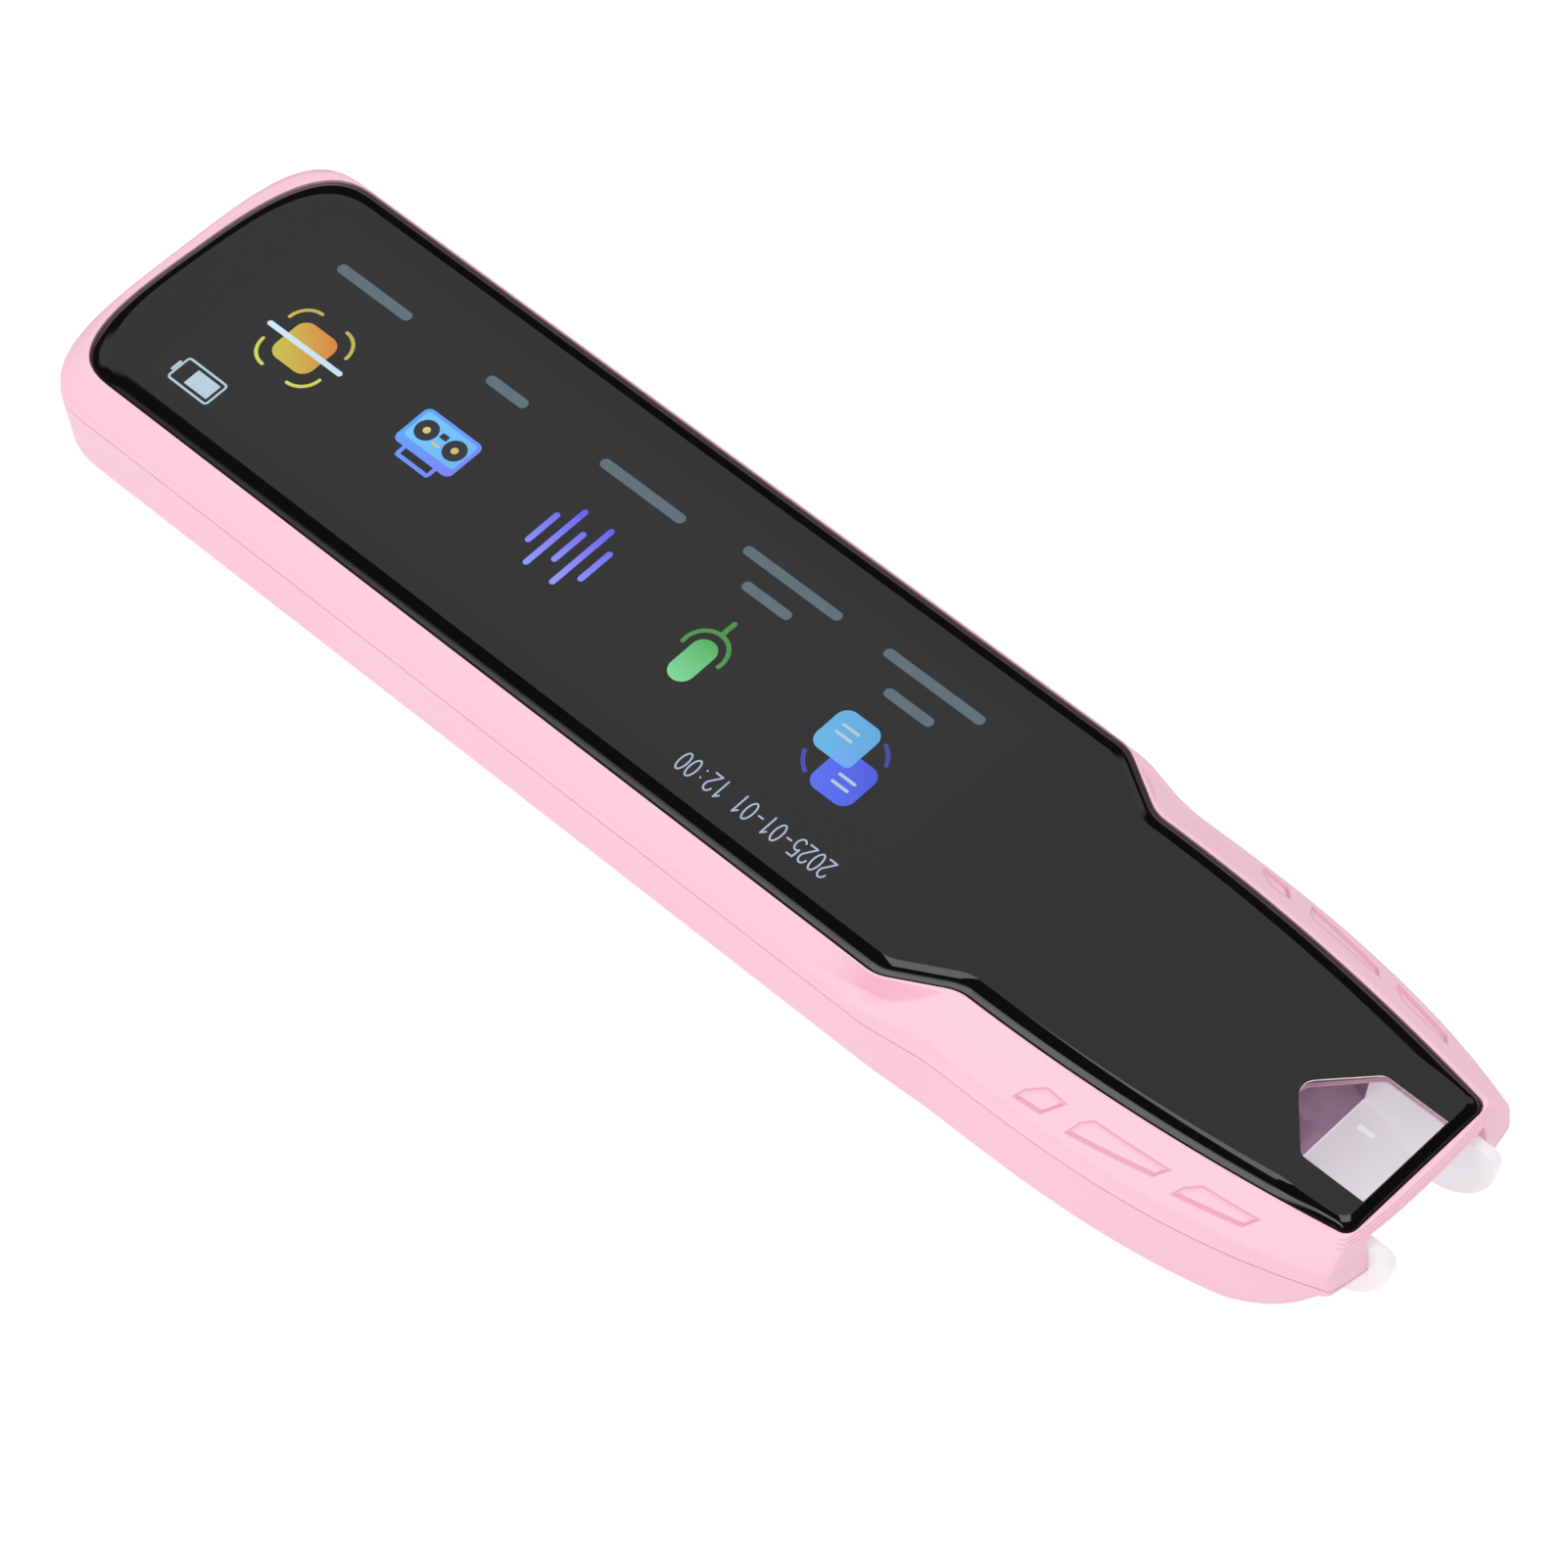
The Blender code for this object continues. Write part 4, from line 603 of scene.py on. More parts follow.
def buildMarkedPlastic():
    # The pink finish with the outlines of the recesses as grooves, whose bump is darkened by painted shade,
    # and
    # painted shade on the wall in the scoop: the least distance to the edges is the distance to an outline,
    # and one less its share of the line's width is the line
    v = topValues
    group, start, end = newGroup("markLines", {"Vector": "Vector"}, {"Line": "Float"})
    line = 0.0
    for corners in markCorners:
        least = 1.0
        for normal, offset in edgesOf(corners):
            along = shareAlong(group, start["Vector"], (normal[0], 0, normal[1]))
            least = workOut(group, "MINIMUM", least, workOut(group, "SUBTRACT", along, offset * mm))
        near = workOut(group, "DIVIDE", workOut(group, "ABSOLUTE", least), v["markLine"] * mm)
        line = workOut(group, "MAXIMUM", line, workOut(group, "SUBTRACT", 1.0, near))
    feed(group, end, {"Line": line})
    finish = finishes["pinkPlastic"].copy()
    finish.name = "markedPlastic"
    tree = finish.node_tree
    shader = tree.nodes["Principled BSDF"]
    where = tree.nodes["Texture Coordinate"].outputs["Object"]
    line = addNode(tree, "Group", {"Vector": where}, node_tree=group).outputs["Line"]
    wall = addNode(tree, "Attribute", attribute_name="shade").outputs["Fac"]
    colour, normal = (shader.inputs[name].links[0].from_socket for name in ("Base Color", "Normal"))
    # painted shade: the groove line and the scoop's wall are darkened here
    colour = mixColour(tree, wall, mixColour(tree, line, colour, v["markTint"]), v["scoopTint"])
    groove = addNode(tree, "Bump", {
        "Strength": v["grooveStrength"], "Distance": v["grooveReach"], "Height": line, "Normal": normal,
    }, invert=True)
    feed(tree, shader, {"Base Color": colour, "Normal": groove.outputs["Normal"]})
    finishes["markedPlastic"] = finish


def markDepthAt(x, z):
    # A recess sinks by a smooth step of the distance from each edge: its upper edges have a wide sloped wall
    # and its lower edges a steep one
    v = topValues
    wide, steep = v["markWalls"]
    deep = np.zeros(np.shape(x))
    for corners in markCorners:
        sunk = np.ones(np.shape(x))
        for normal, offset in edgesOf(corners):
            distance = x * normal[0] + z * normal[1] - offset
            sunk = np.minimum(sunk, smoothStep(distance / (wide if normal[1] < v["markTurn"] else steep)))
        deep += v["markDepth"] * sunk
    return deep


def ridgeDepthAt(x, z):
    # Fine level grooves across the nose face, as deep as a bell curve of the height
    v = topValues
    deep = sum(np.exp(-((z - height) / v["ridgeWidth"]) ** 2) for height in v["ridgeHeights"])
    start, length = v["ridgeReach"]
    return v["ridgeDepth"] * deep * smoothStep((x - (case["noseX"] - start)) / length)


def scoopAt(x, share):
    # An eye-shaped wall under the rim at the shoulder: the flank sinks by a square up to a kink, and comes
    # back straight to the rim above it; the second result, the mask of the painted shade on that wall, is 1
    # above the kink and 0 elsewhere
    v = topValues
    (low, high), peak = v["scoopReach"], v["scoopPeak"]
    along = np.clip((x - low) / (high - low), 0, 1)
    swell = np.sin(math.pi / 2 * np.where(along < peak, along / peak, (1 - along) / (1 - peak)))
    kink = 1 - v["scoopShare"] * swell
    rising = (share / kink) ** 2
    falling = (1 - share) / np.maximum(1 - kink, 1e-6)
    wall = smoothStep((share - kink) / v["scoopEdge"]) * smoothStep(along / peak) * (swell > 0)
    return v["scoopDepth"] * swell ** 2 * np.where(share < kink, rising, falling), wall


def sinkMarks(levels, shares):
    # Each point of the flank moves in, square to the flank, by the depth of what is sunk there
    grid = np.stack(levels)
    x, z = grid[..., 0], grid[..., 2]
    scoop, wall = scoopAt(x, np.asarray(shares)[:, None])
    deep = markDepthAt(x, z) + ridgeDepthAt(x, z) + scoop
    along = np.roll(grid, -1, 1) - np.roll(grid, 1, 1)
    inward = np.cross(along, np.gradient(grid, axis=0))  # the levels run downward
    inward /= np.linalg.norm(inward, axis=2, keepdims=True) + 1e-12
    return list(grid + inward * deep[..., None]), wall


def windowOutline(inset):
    # The house outline of the window, with nearly sharp base corners and rounded shoulders and apex
    v = topValues
    half = v["windowHalf"] - inset
    base = case["noseX"] - v["windowBase"] - inset
    shoulder = case["noseX"] - v["windowShoulder"] + inset * v["shoulderShare"]
    apex = case["noseX"] - v["windowApex"] + inset
    corners = [(base, -half), (base, half), (shoulder, half), (apex, 0.0), (shoulder, -half)]
    return roundedOutline(corners, v["windowRounds"])


def buildTopShell():
    # One skin lofted from the glass recess over the rim, down the flank, round the parting edge and up inside
    v = topValues
    top, edge, flank = case["rimTop"], case["crease"], case["rimTop"] - case["crease"]
    glass, crease, parting = (outlines[name] for name in ("glass", "crease", "parting"))
    drop, out = v["recessEdge"]
    gap = -v["recessGap"]
    recess = ((v["ledgeTop"], gap), (top - drop, gap), (top, gap - out))
    levels = [levelOf(height, glass, inset) for height, inset in recess]
    for turn in np.linspace(*v["rimTurns"]) * math.pi / 2:
        share = 1 - v["rimRound"] * (1 - math.cos(turn)) / flank * v["rimFlat"]
        levels.append(flankLevel(share, v["rimRound"] * v["rimFlat"] * (1 - math.sin(turn))))
    shares = np.concatenate([np.linspace(*stretch) for stretch in v["flankStretches"]])
    sunk, wall = sinkMarks([flankLevel(share) for share in shares], shares)
    shadeStart = len(levels)
    levels += sunk + [flankLevel(share, inset) for share, inset in v["creaseShares"]]
    levels += [levelOf(edge - drop, crease, inset, case["creaseRise"]) for drop, inset in v["creaseDrops"]]
    levels.append(levelOf(case["parting"] + v["seam"], parting))
    levels += [levelOf(case["parting"], parting, inset) for inset in (v["seam"], v["wall"])]
    levels.append(levelOf(edge, crease, v["wall"], case["creaseRise"]))
    last = flankLevel((v["ledgeBase"] - edge) / flank, v["wall"])
    last[:, 2] = v["ledgeBase"]
    levels.append(last)
    # the shade attribute marks where the scoop's wall gets painted shade
    shade = np.zeros((len(levels), len(last)))
    shade[shadeStart : shadeStart + len(wall)] = wall
    shell = makePiece(
        "caseTop", *loftMesh(levels), "markedPlastic", "case", "pink_plastic", ("top_shell",),
        shade=shade.ravel(),
    )
    low, high = boxOf("lcd_panel")
    step, back = case["noseX"] - v["stepInset"], case["noseX"] - v["noseWall"]
    ahead, base, notch = case["noseX"] + v["cutAhead"], v["notchBase"], v["notchTop"]
    profile = [(back, base), (back, notch), (step, notch)]
    profile += [(step, v["stepTop"]), (ahead, v["stepTop"]), (ahead, base)]
    through = (v["ledgeBase"] - v["cutBelow"], v["ledgeTop"] + v["cutAbove"])
    cutAway(shell, [
        prismMesh(windowOutline(-v["windowEase"]), *through),
        prismMesh(rectangle(low - v["displayEase"], high + v["displayEase"]), *through),
        prismMesh(profile, -v["notchHalf"], v["notchHalf"], axis=1),
    ])


buildMarkedPlastic()
buildTopShell()
print("top shell built")

# Bottom shell
bottomValues = {
    "wall": 1.9, "floor": 1.6, "round": 1.9, "innerRound": 1.2, "innerBack": 1.6, "top": 7.65, "tongue": 8.8,
    "tongueWall": 1.35, "seam": 0.035, "rows": 33, "leastRise": 0.12, "roundShare": 0.8, "roundSteps": 7,
    "sideSteps": 4,
    # how far from the nose the underside has risen by how much
    "sweepInsets": (14.0, 10.5, 8.3, 6.4, 4.6, 2.9, 1.6, 0.7, 0.4),
    "sweepHeights": (0.0, 0.0, 0.6, 1.5, 2.7, 4.3, 5.8, 7.0, 7.4),
    "mouthBack": 12.1, "gateBack": 8.2, "mouthHalf": 7.05, "mouthTop": 12, "cutBeyond": 2,
    "buttonPlace": (-23.975, 4.9), "buttonHalf": (4.9, 1.4), "buttonReach": (14.0, 19.0),
    "socketHeight": 5.05, "socketHalf": (4.67, 1.78), "socketReach": (-2, 4), "holeRound": (0.96, 0.98),
    "grillePitch": 2.2, "grilleRadius": 0.5, "grilleCount": (4, 3), "grilleX": -57.975, "grilleReach": 1,
    "micPlace": (-66.475, 10.5),
}
bottomCounts = {**counts, "tip": 60, "marks": 60, "neckEnd": 12, "shoulder": 40}


def sweepHeight(x, lift, back):
    # The height of the underside, which curves up towards the nose through the table by a smooth cubic
    v = bottomValues
    place = case["noseX"] - back - np.array(v["sweepInsets"])
    height = np.array(v["sweepHeights"])
    slope = np.gradient(height, place)
    slope[0] = slope[1] = 0.0
    index = np.clip(np.searchsorted(place, x) - 1, 0, len(place) - 2)
    width = place[index + 1] - place[index]
    s = np.clip((x - place[index]) / width, 0, 1)
    result = (2 * s**3 - 3 * s**2 + 1) * height[index] + (s**3 - 2 * s**2 + s) * width * slope[index]
    result += (3 * s**2 - 2 * s**3) * height[index + 1] + (s**3 - s**2) * width * slope[index + 1]
    return np.where(x < place[0], 0.0, result) + lift


def underLevels(inset, radius, lift, back, topHeight):
    # Levels of a rounded bottom edge that follows the sweep, from the underside up to the top height
    v = bottomValues
    here = outlineOf(outlines["belly"], inset, bottomCounts)
    inner = outlineOf(outlines["belly"], inset + 1.0, bottomCounts) - here  # the way in, for each millimetre
    base = np.minimum(sweepHeight(here[:, 0], lift, back), topHeight - v["leastRise"])
    room = np.minimum(radius, v["roundShare"] * (topHeight - base))
    levels = []
    for turn in np.linspace(math.pi / 2, 0, v["roundSteps"]):
        out = room * (1 - math.cos(turn))
        levels.append(np.column_stack([here + inner * out[:, None], base + room * (1 - math.sin(turn))]))
    edge, low = outlineOf(outlines["parting"], inset, bottomCounts), base + room
    for share in np.linspace(0, 1, v["sideSteps"] + 1)[1:]:
        levels.append(np.column_stack([here + (edge - here) * share, low + (topHeight - low) * share]))
    return levels


def capAcross(level, rows):
    # Points and quads that fill a level: each point is joined to its mirror by a row of points across
    count = len(level)
    half = count // 2
    left = level[: half + 1]
    right = level[(count - np.arange(half + 1)) % count]
    share = np.linspace(0, 1, rows)[None, :, None]
    grid = left[:, None, :] * (1 - share) + right[:, None, :] * share
    return grid.reshape(-1, 3), gridFaces(half + 1, rows, closed=False)


def buildBottomShell():
    # An outer skin and an inner skin that follow the sweep, joined round the top edge and its tongue
    v = bottomValues
    levels = underLevels(0.0, v["round"], 0.0, 0.0, v["top"] - v["seam"])
    for height, name, inset in (
        (v["top"], "parting", v["seam"]), (v["top"], "parting", v["tongueWall"]),
        (v["tongue"], "crease", v["tongueWall"]), (v["tongue"], "crease", v["wall"]),
    ):
        levels.append(levelOf(height, outlines[name], inset, sizes=bottomCounts))
    levels += underLevels(v["wall"], v["innerRound"], v["floor"], v["innerBack"], v["top"])[::-1]
    skin = (np.concatenate(levels), gridFaces(len(levels), len(levels[0])))
    caps = [capAcross(level, v["rows"]) for level in (levels[0], levels[-1])]
    shell = makePiece(
        "caseBottom", *joinMeshes([skin, *caps]), "pinkPlastic", "case", "pink_plastic", ("bottom_shell",)
    )
    low, high, ahead = -v["cutBeyond"], v["mouthTop"], case["noseX"] + v["cutBeyond"]
    back, gate = case["noseX"] - v["mouthBack"], case["noseX"] - v["gateBack"]
    mouth = [(back, v["floor"]), (gate, v["floor"]), (gate, low), (ahead, low), (ahead, high), (back, high)]
    button = roundedBox(v["buttonPlace"], v["buttonHalf"], v["buttonHalf"][1] * v["holeRound"][0])
    socket = roundedBox((0, v["socketHeight"]), v["socketHalf"], v["socketHalf"][1] * v["holeRound"][1])
    near, far = (case["tailX"] + reach for reach in v["socketReach"])
    parts = [
        prismMesh(mouth, -v["mouthHalf"], v["mouthHalf"], axis=1),
        prismMesh(button, *v["buttonReach"], axis=1), prismMesh(socket, near, far, axis=0),
    ]
    columns, rows = (np.arange(count) - (count - 1) / 2 for count in v["grilleCount"])
    places = [(v["grilleX"] + x * v["grillePitch"], y * v["grillePitch"]) for x in columns for y in rows]
    for place in places + [v["micPlace"]]:
        hole = arcPoints(place, v["grilleRadius"], 0, 345, 24)
        parts.append(prismMesh(hole, -v["grilleReach"], v["floor"] + v["grilleReach"]))
    cutAway(shell, parts)


buildBottomShell()
print("bottom shell built")

# Power button: a flanged cap with a rounded edge and a shallow dish
buttonValues = {
    "half": (4.7, 1.2), "flange": 0.7, "flangeReach": (14.1, 14.9), "nubHalf": 1.0,
    # how far in from the face, and how much smaller, each ring of the edge and of the dish is
    "edge": ((0.40, 0.0), (0.17, 0.02), (0.06, 0.08), (0.02, 0.17), (0.03, 0.27), (0.07, 0.45), (0.12, 0.75)),
}


def buildButton():
    v = buttonValues
    low, high = boxOf("power_button")
    (wide, tall), nub, (near, far) = v["half"], v["nubHalf"], v["flangeReach"]
    rows = [(low[1], nub, nub), (near, nub, nub)]
    rows += [(place, wide + v["flange"], tall + v["flange"]) for place in (near, far)] + [(far, wide, tall)]
    rows += [(high[1] - drop, wide - less, tall - less) for drop, less in v["edge"]]
    mesh = loftMesh(slotRings(bottomValues["buttonPlace"], 1, rows))
    makePiece("powerCap", *mesh, "pinkPlastic", "power_button", "pink_plastic", ("power_button",))


buildButton()
print("power button built")

# Charging socket: a steel sleeve with a rolled lip, and a tongue with gold contacts on both faces
socketValues = {
    "mouth": -74.875, "length": 7.3, "depth": 6.2, "half": (4.47, 1.58), "wall": 0.3, "lip": 0.1,
    "lipShare": 0.3, "tongueHalf": (3.3, 0.35), "tongueLength": 5.0, "tipLess": (0.15, 0.12),
    "tongueSeat": 0.05, "contacts": 12, "pitch": 0.5, "contactHalf": 0.13, "contactReach": (0.15, 2.9),
    "contactRise": (-0.01, 0.02),
}


def buildSocket():
    v = socketValues
    (wide, tall), mouth, lip, thick = v["half"], v["mouth"], v["lip"], v["wall"]
    roll = lip * v["lipShare"]
    rows = [(v["length"], 0), (lip, 0), (roll, roll), (0, lip)]
    rows += [(0, thick - lip), (roll, thick - roll), (lip, thick), (v["depth"], thick)]
    middle = (0, bottomValues["socketHeight"])
    sleeve = loftMesh(slotRings(middle, 0, [(mouth + x, wide - less, tall - less) for x, less in rows]))
    makePiece("socketSleeve", *sleeve, "tinnedSteel", "case", "tinned_steel", ("charging_socket",))
    back = mouth + v["depth"]
    tip = back - v["tongueLength"]
    (half, thin), (lessWide, lessThin) = v["tongueHalf"], v["tipLess"]
    rows = [(tip, half - lessWide, thin - lessThin), (tip + lessThin, half, thin)]
    rows.append((back + v["tongueSeat"], half, thin))
    makePiece("socketTongue", *loftMesh(slotRings(middle, 0, rows)), "blackPlastic", "case", "black_plastic")
    start, end = v["contactReach"]
    parts = []
    for y in (np.arange(v["contacts"]) - (v["contacts"] - 1) / 2) * v["pitch"]:
        strip = rectangle((tip + start, y - v["contactHalf"]), (tip + end, y + v["contactHalf"]))
        for side in (-1, 1):
            levels = sorted(middle[1] + side * (thin + rise) for rise in v["contactRise"])
            parts.append(prismMesh(strip, *levels))
    makePiece("socketContacts", *joinMeshes(parts), "goldContact", "case", "tinned_steel", smooth=0)


buildSocket()
print("charging socket built")

# Front glass
glassValues = {
    "base": 12.45, "top": 13.55, "paneThick": 0.17, "paneEase": 0.005, "flare": 0.9, "holeReach": (0.1, 1),
    "sheet": 0.003, "sheetThick": 0.0027,
    # (height above the base, inset) of the lower edge
    "foot": ((0, 0.12), (0.1, 0.02)),
    # width of the bevel at places along the pen, and its profile as shares of the width and drops
    "bevelPlaces": (65, 71), "bevelWidths": (1.5, 0.86), "bevelRim": 0.03,
    "bevelShares": (1.0, 0.97, 0.92, 0.64, 0.61, 0.46, 0.43, 0.015, 0),
    "bevelDrops": (0.90, 0.810, 0.715, 0.362, 0.330, 0.202, 0.182, 0.006, 0),
    # the ink lies on the back of the glass, and this moves what it shows to where it is seen from above
    "inkShift": (0.37, -0.32),
}


def windowRing(height, ease):
    return placed(windowOutline(-ease) + glassValues["inkShift"], height, 2)


def buildGlass():
    # A slab whose top edge is a wide bevel with a rounded foot, and a window that flares out below its top
    v = glassValues
    levels = [levelOf(v["base"] + rise, outlines["glass"], inset) for rise, inset in v["foot"]]
    outer = levelOf(0.0, outlines["glass"])
    inward = levelOf(0.0, outlines["glass"], 1.0) - outer
    width = np.interp(outer[:, 0], v["bevelPlaces"], v["bevelWidths"])
    for share, drop in zip(v["bevelShares"], v["bevelDrops"]):
        levels.append(outer + inward * (width * (1 - share))[:, None] + (0, 0, v["top"] - drop))
    levels.append(outer + inward * (width + v["bevelRim"])[:, None] + (0, 0, v["top"]))
    slab = loftMesh(levels)
    glass = makePiece("coverGlass", *slab, "blackGlass", "case", "printed_glass", ("front_glass",))
    under, (below, above) = v["top"] - v["paneThick"], v["holeReach"]
    hole = [(v["base"] - below, v["flare"]), (under, 0.0), (v["top"] + above, 0.0)]
    cutAway(glass, [loftMesh([windowRing(height, ease) for height, ease in hole])])
    pane = loftMesh([windowRing(height, -v["paneEase"]) for height in (under, v["top"])])
    makePiece("windowPane", *pane, "clearPane", "case", "printed_glass", smooth=0)


buildGlass()
print("glass built")

# What the display shows: flat figures on the glass, in light that has its own colour
screenColours = {
    # name: (colour at the near end, colour at the far end, x, y of the near end, x, y of the far end)
    "paleBlue": ((0.46, 0.62, 0.72), (0.40, 0.56, 0.66), (0, -11), (0, 9)),
    "clockBlue": ((0.42, 0.50, 0.66), (0.38, 0.46, 0.62), (0, -11), (0, 9)),
    "dimBlue": ((0.105, 0.15, 0.185), (0.09, 0.135, 0.165), (0, -11), (0, 9)),
    "iceBlue": ((0.62, 0.80, 0.92), (0.55, 0.75, 0.88), (-61, 0), (-52, 0)),
    "scanGlow": ((0.58, 0.50, 0.05), (0.66, 0.22, 0.03), (-58.4, -2.4), (-55.2, 1.4)),
    "scanArc": ((0.60, 0.66, 0.10), (0.52, 0.42, 0.07), (-56.7, -4.0), (-56.7, 2.6)),
    "playerBlue": ((0.08, 0.36, 0.95), (0.16, 0.22, 0.90), (-43.6, 1.0), (-36.5, -1.0)),
    "playerLight": ((0.16, 0.56, 0.96), (0.13, 0.45, 0.93), (-43.0, 1.0), (-37.0, -1.0)),
    "playerDark": ((0.010, 0.011, 0.020), (0.014, 0.014, 0.026), (-43, 0), (-37, 0)),
    "playerAmber": ((0.72, 0.60, 0.18), (0.62, 0.48, 0.12), (-43, 0), (-37, 0)),
    "barViolet": ((0.27, 0.30, 0.95), (0.12, 0.09, 0.86), (0, -4.4), (0, 2.6)),
    "micGreen": ((0.19, 0.66, 0.30), (0.06, 0.40, 0.07), (0, -4.6), (0, 0.4)),
    "micArc": ((0.05, 0.30, 0.05), (0.05, 0.27, 0.04), (0, -1.5), (0, 2.4)),
    "tileSky": ((0.12, 0.45, 0.78), (0.10, 0.38, 0.70), (7.0, -1.5), (10.6, 2.2)),
    "tileBlue": ((0.08, 0.14, 0.86), (0.06, 0.09, 0.72), (9.6, -4.6), (13.2, -0.9)),
    "tileBoth": ((0.16, 0.40, 0.86), (0.12, 0.36, 0.84), (8.0, -2.0), (12.0, 1.0)),
    "tileArc": ((0.05, 0.05, 0.42), (0.04, 0.04, 0.33), (6, -4), (13, 2)),
    "panelBlack": ((0.0020, 0.0020, 0.0026), (0.0030, 0.0028, 0.0034), (0, -12), (0, 12)),
}
screenValues = {
    "levels": {"To Min": 0.90, "To Max": 1.05}, "pixel": 0.11,
    "surface": {
        "Base Color": (0.003, 0.003, 0.004, 1), "Roughness": 0.02, "IOR": 1.6, "Emission Strength": 1.0,
    },
}


def buildScreenGroup():
    # Colour along the x of a point, from 0 to 1, times the fine unevenness of the display's pixels
    group, start, end = newGroup("screenLight", {
        "Vector": "Vector", "Near Color": "Color", "Far Color": "Color", "Pixel Scale": "Float",
    }, {"Color": "Color"})
    ramp = addNode(group, "SeparateXYZ", {"Vector": start["Vector"]}).outputs["X"]
    held = addNode(group, "Clamp", {"Value": ramp}).outputs["Result"]
    colour = mixColour(group, held, start["Near Color"], start["Far Color"])
    speck = addNode(group, "TexNoise", {"Vector": start["Vector"], "Scale": start["Pixel Scale"]})
    inputs = {"Value": speck.outputs["Fac"], **noiseSpan, **screenValues["levels"]}
    level = addNode(group, "MapRange", inputs).outputs["Result"]
    scaled = addNode(group, "VectorMath", {0: colour, "Scale": level}, operation="SCALE")
    feed(group, end, {"Color": scaled.outputs["Vector"]})
    return group


screenGroup = buildScreenGroup()


def addScreenFinish(name, near, far, start, end):
    # Black glass that gives off its colour; a Mapping node makes the line from start to end 0 to 1 along x
    finishes[name], tree, shader = newLook(name)
    span = np.subtract(end, start) * mm
    length = float(np.hypot(*span))
    x, y = np.add(start, glassValues["inkShift"]) * mm
    place = addNode(tree, "Mapping", {
        "Vector": addNode(tree, "TexCoord").outputs["Object"], "Location": (x, y, 0),
        "Rotation": (0, 0, math.atan2(span[1], span[0])), "Scale": (length, length, length),
    }, vector_type="TEXTURE")
    glow = addNode(tree, "Group", {
        "Vector": place.outputs["Vector"], "Near Color": (*near, 1), "Far Color": (*far, 1),
        "Pixel Scale": length / (screenValues["pixel"] * mm),
    }, node_tree=screenGroup)
    feed(tree, shader, {**screenValues["surface"], "Emission Color": glow.outputs["Color"]})


for finishName, values in screenColours.items():
    addScreenFinish(finishName, *values)


def strokeOutline(path, width, capSteps=7):
    # A path widened to both sides by half the width, with half-round ends
    path = np.asarray(path, float)
    along = unit(np.gradient(path, axis=0))
    side = np.stack([-along[:, 1], along[:, 0]], 1) * width / 2
    turn = np.linspace(0, math.pi, capSteps)[1:-1, None]
    endCap = path[-1] + side[-1] * np.cos(turn) + along[-1] * width / 2 * np.sin(turn)
    startCap = path[0] - side[0] * np.cos(turn) - along[0] * width / 2 * np.sin(turn)
    return np.concatenate([path + side, endCap, (path - side)[::-1], startCap])


def flat(outline, number):
    # An outline as a sheet of the display, counted up from the glass
    top = glassValues["top"] + glassValues["sheet"] * number
    return prismMesh(outline, top - glassValues["sheetThick"], top)


def stroke(path, width, number):
    return flat(strokeOutline(path, width), number)


def line(start, end, width, number):
    return stroke(np.linspace(start, end, 4), width, number)


def arc(centre, radius, middle, half, steps, width, number):
    return stroke(arcPoints(centre, radius, middle - half, middle + half, steps), width, number)


def addFigure(name, parts, finish):
    # Flat sheets of the display as one piece
    points, faces = joinMeshes(parts)
    points[:, :2] += glassValues["inkShift"]
    makePiece(name, points, faces, finish, "case", "lcd_glass", smooth=0)


def buildPanel(margins=(0.6, 1.4), corner=0.4):
    low, high = (side[:2] for side in boxOf("lcd_panel"))
    panel = roundedBox((low + high) / 2, (high - low) / 2 - margins, corner)
    addFigure("displayPanel", [flat(panel, 1)], "panelBlack")


buildPanel()
iconValues = {
    "scan": {
        "centre": (-56.6, -0.9), "half": 2.38, "corner": 1.2, "bar": ((-4.4, -0.02), (4.45, 0.02)),
        "barWidth": 0.56, "arcOut": 1.55, "arcRadius": 2.08, "arcHalf": 44, "arcWidth": 0.34,
    },
    "player": {
        "centre": (-40.05, -0.45), "half": (3.5, 2.25), "corner": 0.7, "rise": 0.28, "coneOut": 1.75,
        "handle": ((-1.9, 0.3), (-1.9, -0.95), (1.9, -0.95), (1.9, 0.3)), "handleWidth": 0.42,
        "front": ((0.4, 0.62), 0.45), "cones": (1.15, 350, 36), "hubs": (0.36, 345, 24),
        "dark": ((0, 0.75), (0.42, 0.3), 0.1), "amber": ((0, -0.35), (0.45, 0.13), 0.1),
    },
    "bars": {"x": -23.35, "pitch": 1.61, "centre": -0.93, "halves": (1.7, 3.5, 1.7, 3.5, 1.7), "width": 0.62},
    "mic": {
        "centre": (-6.8, -2.45), "half": (1.28, 2.5), "round": 0.98, "arcY": -1.15, "arcRadius": 2.15,
        "arcHalf": 100, "arcWidth": 0.42, "stemEnd": 2.55, "stemWidth": 0.5,
    },
    "tiles": {
        "sky": (8.64, 0.38), "blue": (11.35, -2.75), "half": 2.35, "corner": 1.2, "bothCorner": 0.6,
        "markShift": (-0.3, 0.35), "markHalf": 0.85, "markRise": 0.45, "markWidth": 0.3,
        "arcRadius": 3.55, "arcHalf": 17, "arcWidth": 0.4,
    },
}


def buildScanIcon():
    v = iconValues["scan"]
    centre = np.array(v["centre"])
    addFigure("iconScanTile", [flat(roundedBox(centre, (v["half"], v["half"]), v["corner"]), 2)], "scanGlow")
    arcs = []
    for middle, side in ((45, (1, 1)), (135, (-1, 1)), (225, (-1, -1)), (315, (1, -1))):
        place = centre + np.multiply(side, v["arcOut"])
        arcs.append(arc(place, v["arcRadius"], middle, v["arcHalf"], 14, v["arcWidth"], 2))
    addFigure("iconScanArcs", arcs, "scanArc")
    addFigure("iconScanBar", [line(*(centre + v["bar"]), v["barWidth"], 3)], "iceBlue")


